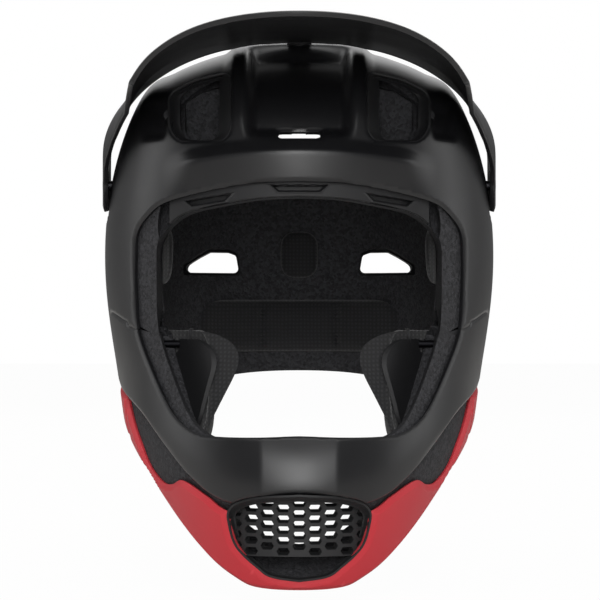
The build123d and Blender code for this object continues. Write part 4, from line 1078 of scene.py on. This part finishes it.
def makeCheekCushion():
    # sections from the middle of the head side outwards: a crowned face, a round edge and a wall
    outline = roundedRectangle(cheek["halfY"], cheek["halfZ"], cheek["corner"], cheek["around"])
    run = np.linspace(0, 1, cheek["rings"])
    share = np.sin(np.clip(run / cheek["face"], 0, 1) * np.pi / 2) ** 0.9
    flat = outline[None] * share[:, None, None]
    y, z = flat[..., 0] + cheek["centreY"], flat[..., 1] + cheek["centreZ"]
    wall = shellX(y, z, cheek["inset"])
    drop = cheek["drop"] * (1 - np.clip(1 - share ** 3.2, 0, 1) ** 0.5)[:, None]
    out = np.clip((run - cheek["face"]) / (1 - cheek["face"]), 0, 1)[:, None]
    points = gridPoints(np.minimum(blend(cheek["inner"] + drop, wall, out), wall), y, z)
    last = np.arange(cheek["around"]) + (cheek["rings"] - 1) * cheek["around"]
    middle = points[last].mean(0)
    middle[0] = shellX(middle[1:2], middle[2:], cheek["inset"])[0]
    faces = [gridFaces(cheek["rings"], cheek["around"], wrap=True), fan(last, len(points))]
    return weld(np.vstack([points, middle]), faces)


cheekForm = makeCheekCushion()
for side, form in (("left", cheekForm), ("right", mirrored(*cheekForm))):
    piece = makePiece("cheek_cushion_" + side, form, padCover, "cheek_pad_" + side, sharp=80)
    fixNormals(piece)
print("pads made")


strap = {"y": -72, "width": 25, "wall": 2.0, "ringX": -38, "ringZ": -98.5, "lean": 15, "around": 28}


def alongRing(out, up):
    lean = radians(strap["lean"])
    return (strap["ringX"] + out * np.cos(lean) + up * np.sin(lean),
            strap["ringZ"] - out * np.sin(lean) + up * np.cos(lean))


def webRibbon(line):
    # a flat oval section carried along a line of the front view
    line = np.asarray(line)
    ahead = unit(np.gradient(line, axis=0))
    turn = np.linspace(0, 2 * np.pi, strap["around"], endpoint=False)
    y = strap["y"] + (bowed(np.cos(turn), 0.35) * strap["width"] / 2)[None]
    lift = (bowed(np.sin(turn), 0.6) * strap["wall"] / 2)[None]
    points = gridPoints(line[:, :1] - ahead[:, 1:] * lift, y, line[:, 1:] + ahead[:, :1] * lift)
    first = np.arange(len(turn))
    last = first + len(points) - len(turn)
    faces = [gridFaces(len(line), len(turn), wrap=True), fan(first, len(points))[:, ::-1],
             fan(last, len(points) + 1)]
    return np.vstack([points, points[first].mean(0), points[last].mean(0)]), faces


def makeStrap(name, lines, node):
    piece = makePiece(name, joinMeshes(*[webRibbon(line) for line in lines]), webbing, node, sharp=60)
    fixNormals(piece)
    # map for the weave: across the strap and along it, both in metres
    uv = piece.data.uv_layers.new(name="weave")
    ids = np.zeros(len(piece.data.loops), np.int32)
    piece.data.loops.foreach_get("vertex_index", ids)
    co = np.zeros(len(piece.data.vertices) * 3)
    piece.data.vertices.foreach_get("co", co)
    co = co.reshape(-1, 3)[ids]
    uv.data.foreach_set("uv", np.stack([co[:, 1], co[:, 0] + co[:, 2]], 1).astype(np.float32).ravel())


leftRun = [(63.5, -17), (64, -40), (64, -60), (62, -74), (58, -89), (48, -99.5), (32, -106), (16, -110),
           (0, -112.2)]
rightRun = [(-63.5, -17), (-64, -40), (-64, -60), (-62, -74), (-58, -86), (-52, -92.5)]
threaded = ((30, -9), (19, -9.2), (11.2, -9), (8, -6.5), (7.2, 0), (7.2, 6), (5, 10.5), (-2, 12), (-9, 12))
longLine = curveThrough(leftRun + [alongRing(*place) for place in threaded])
shortLine = curveThrough(rightRun + [alongRing(-9.6, 0), alongRing(-5, 0)])
loop = np.array([alongRing(-0.4 + 4.6 * np.cos(t), 5.8 * np.sin(t)) for t in np.linspace(0, 2 * np.pi, 40)])
makeStrap("long_strap_webbing", [longLine], "strap_long")
makeStrap("short_strap_webbing", [shortLine, loop], "strap_short")
print("straps made")
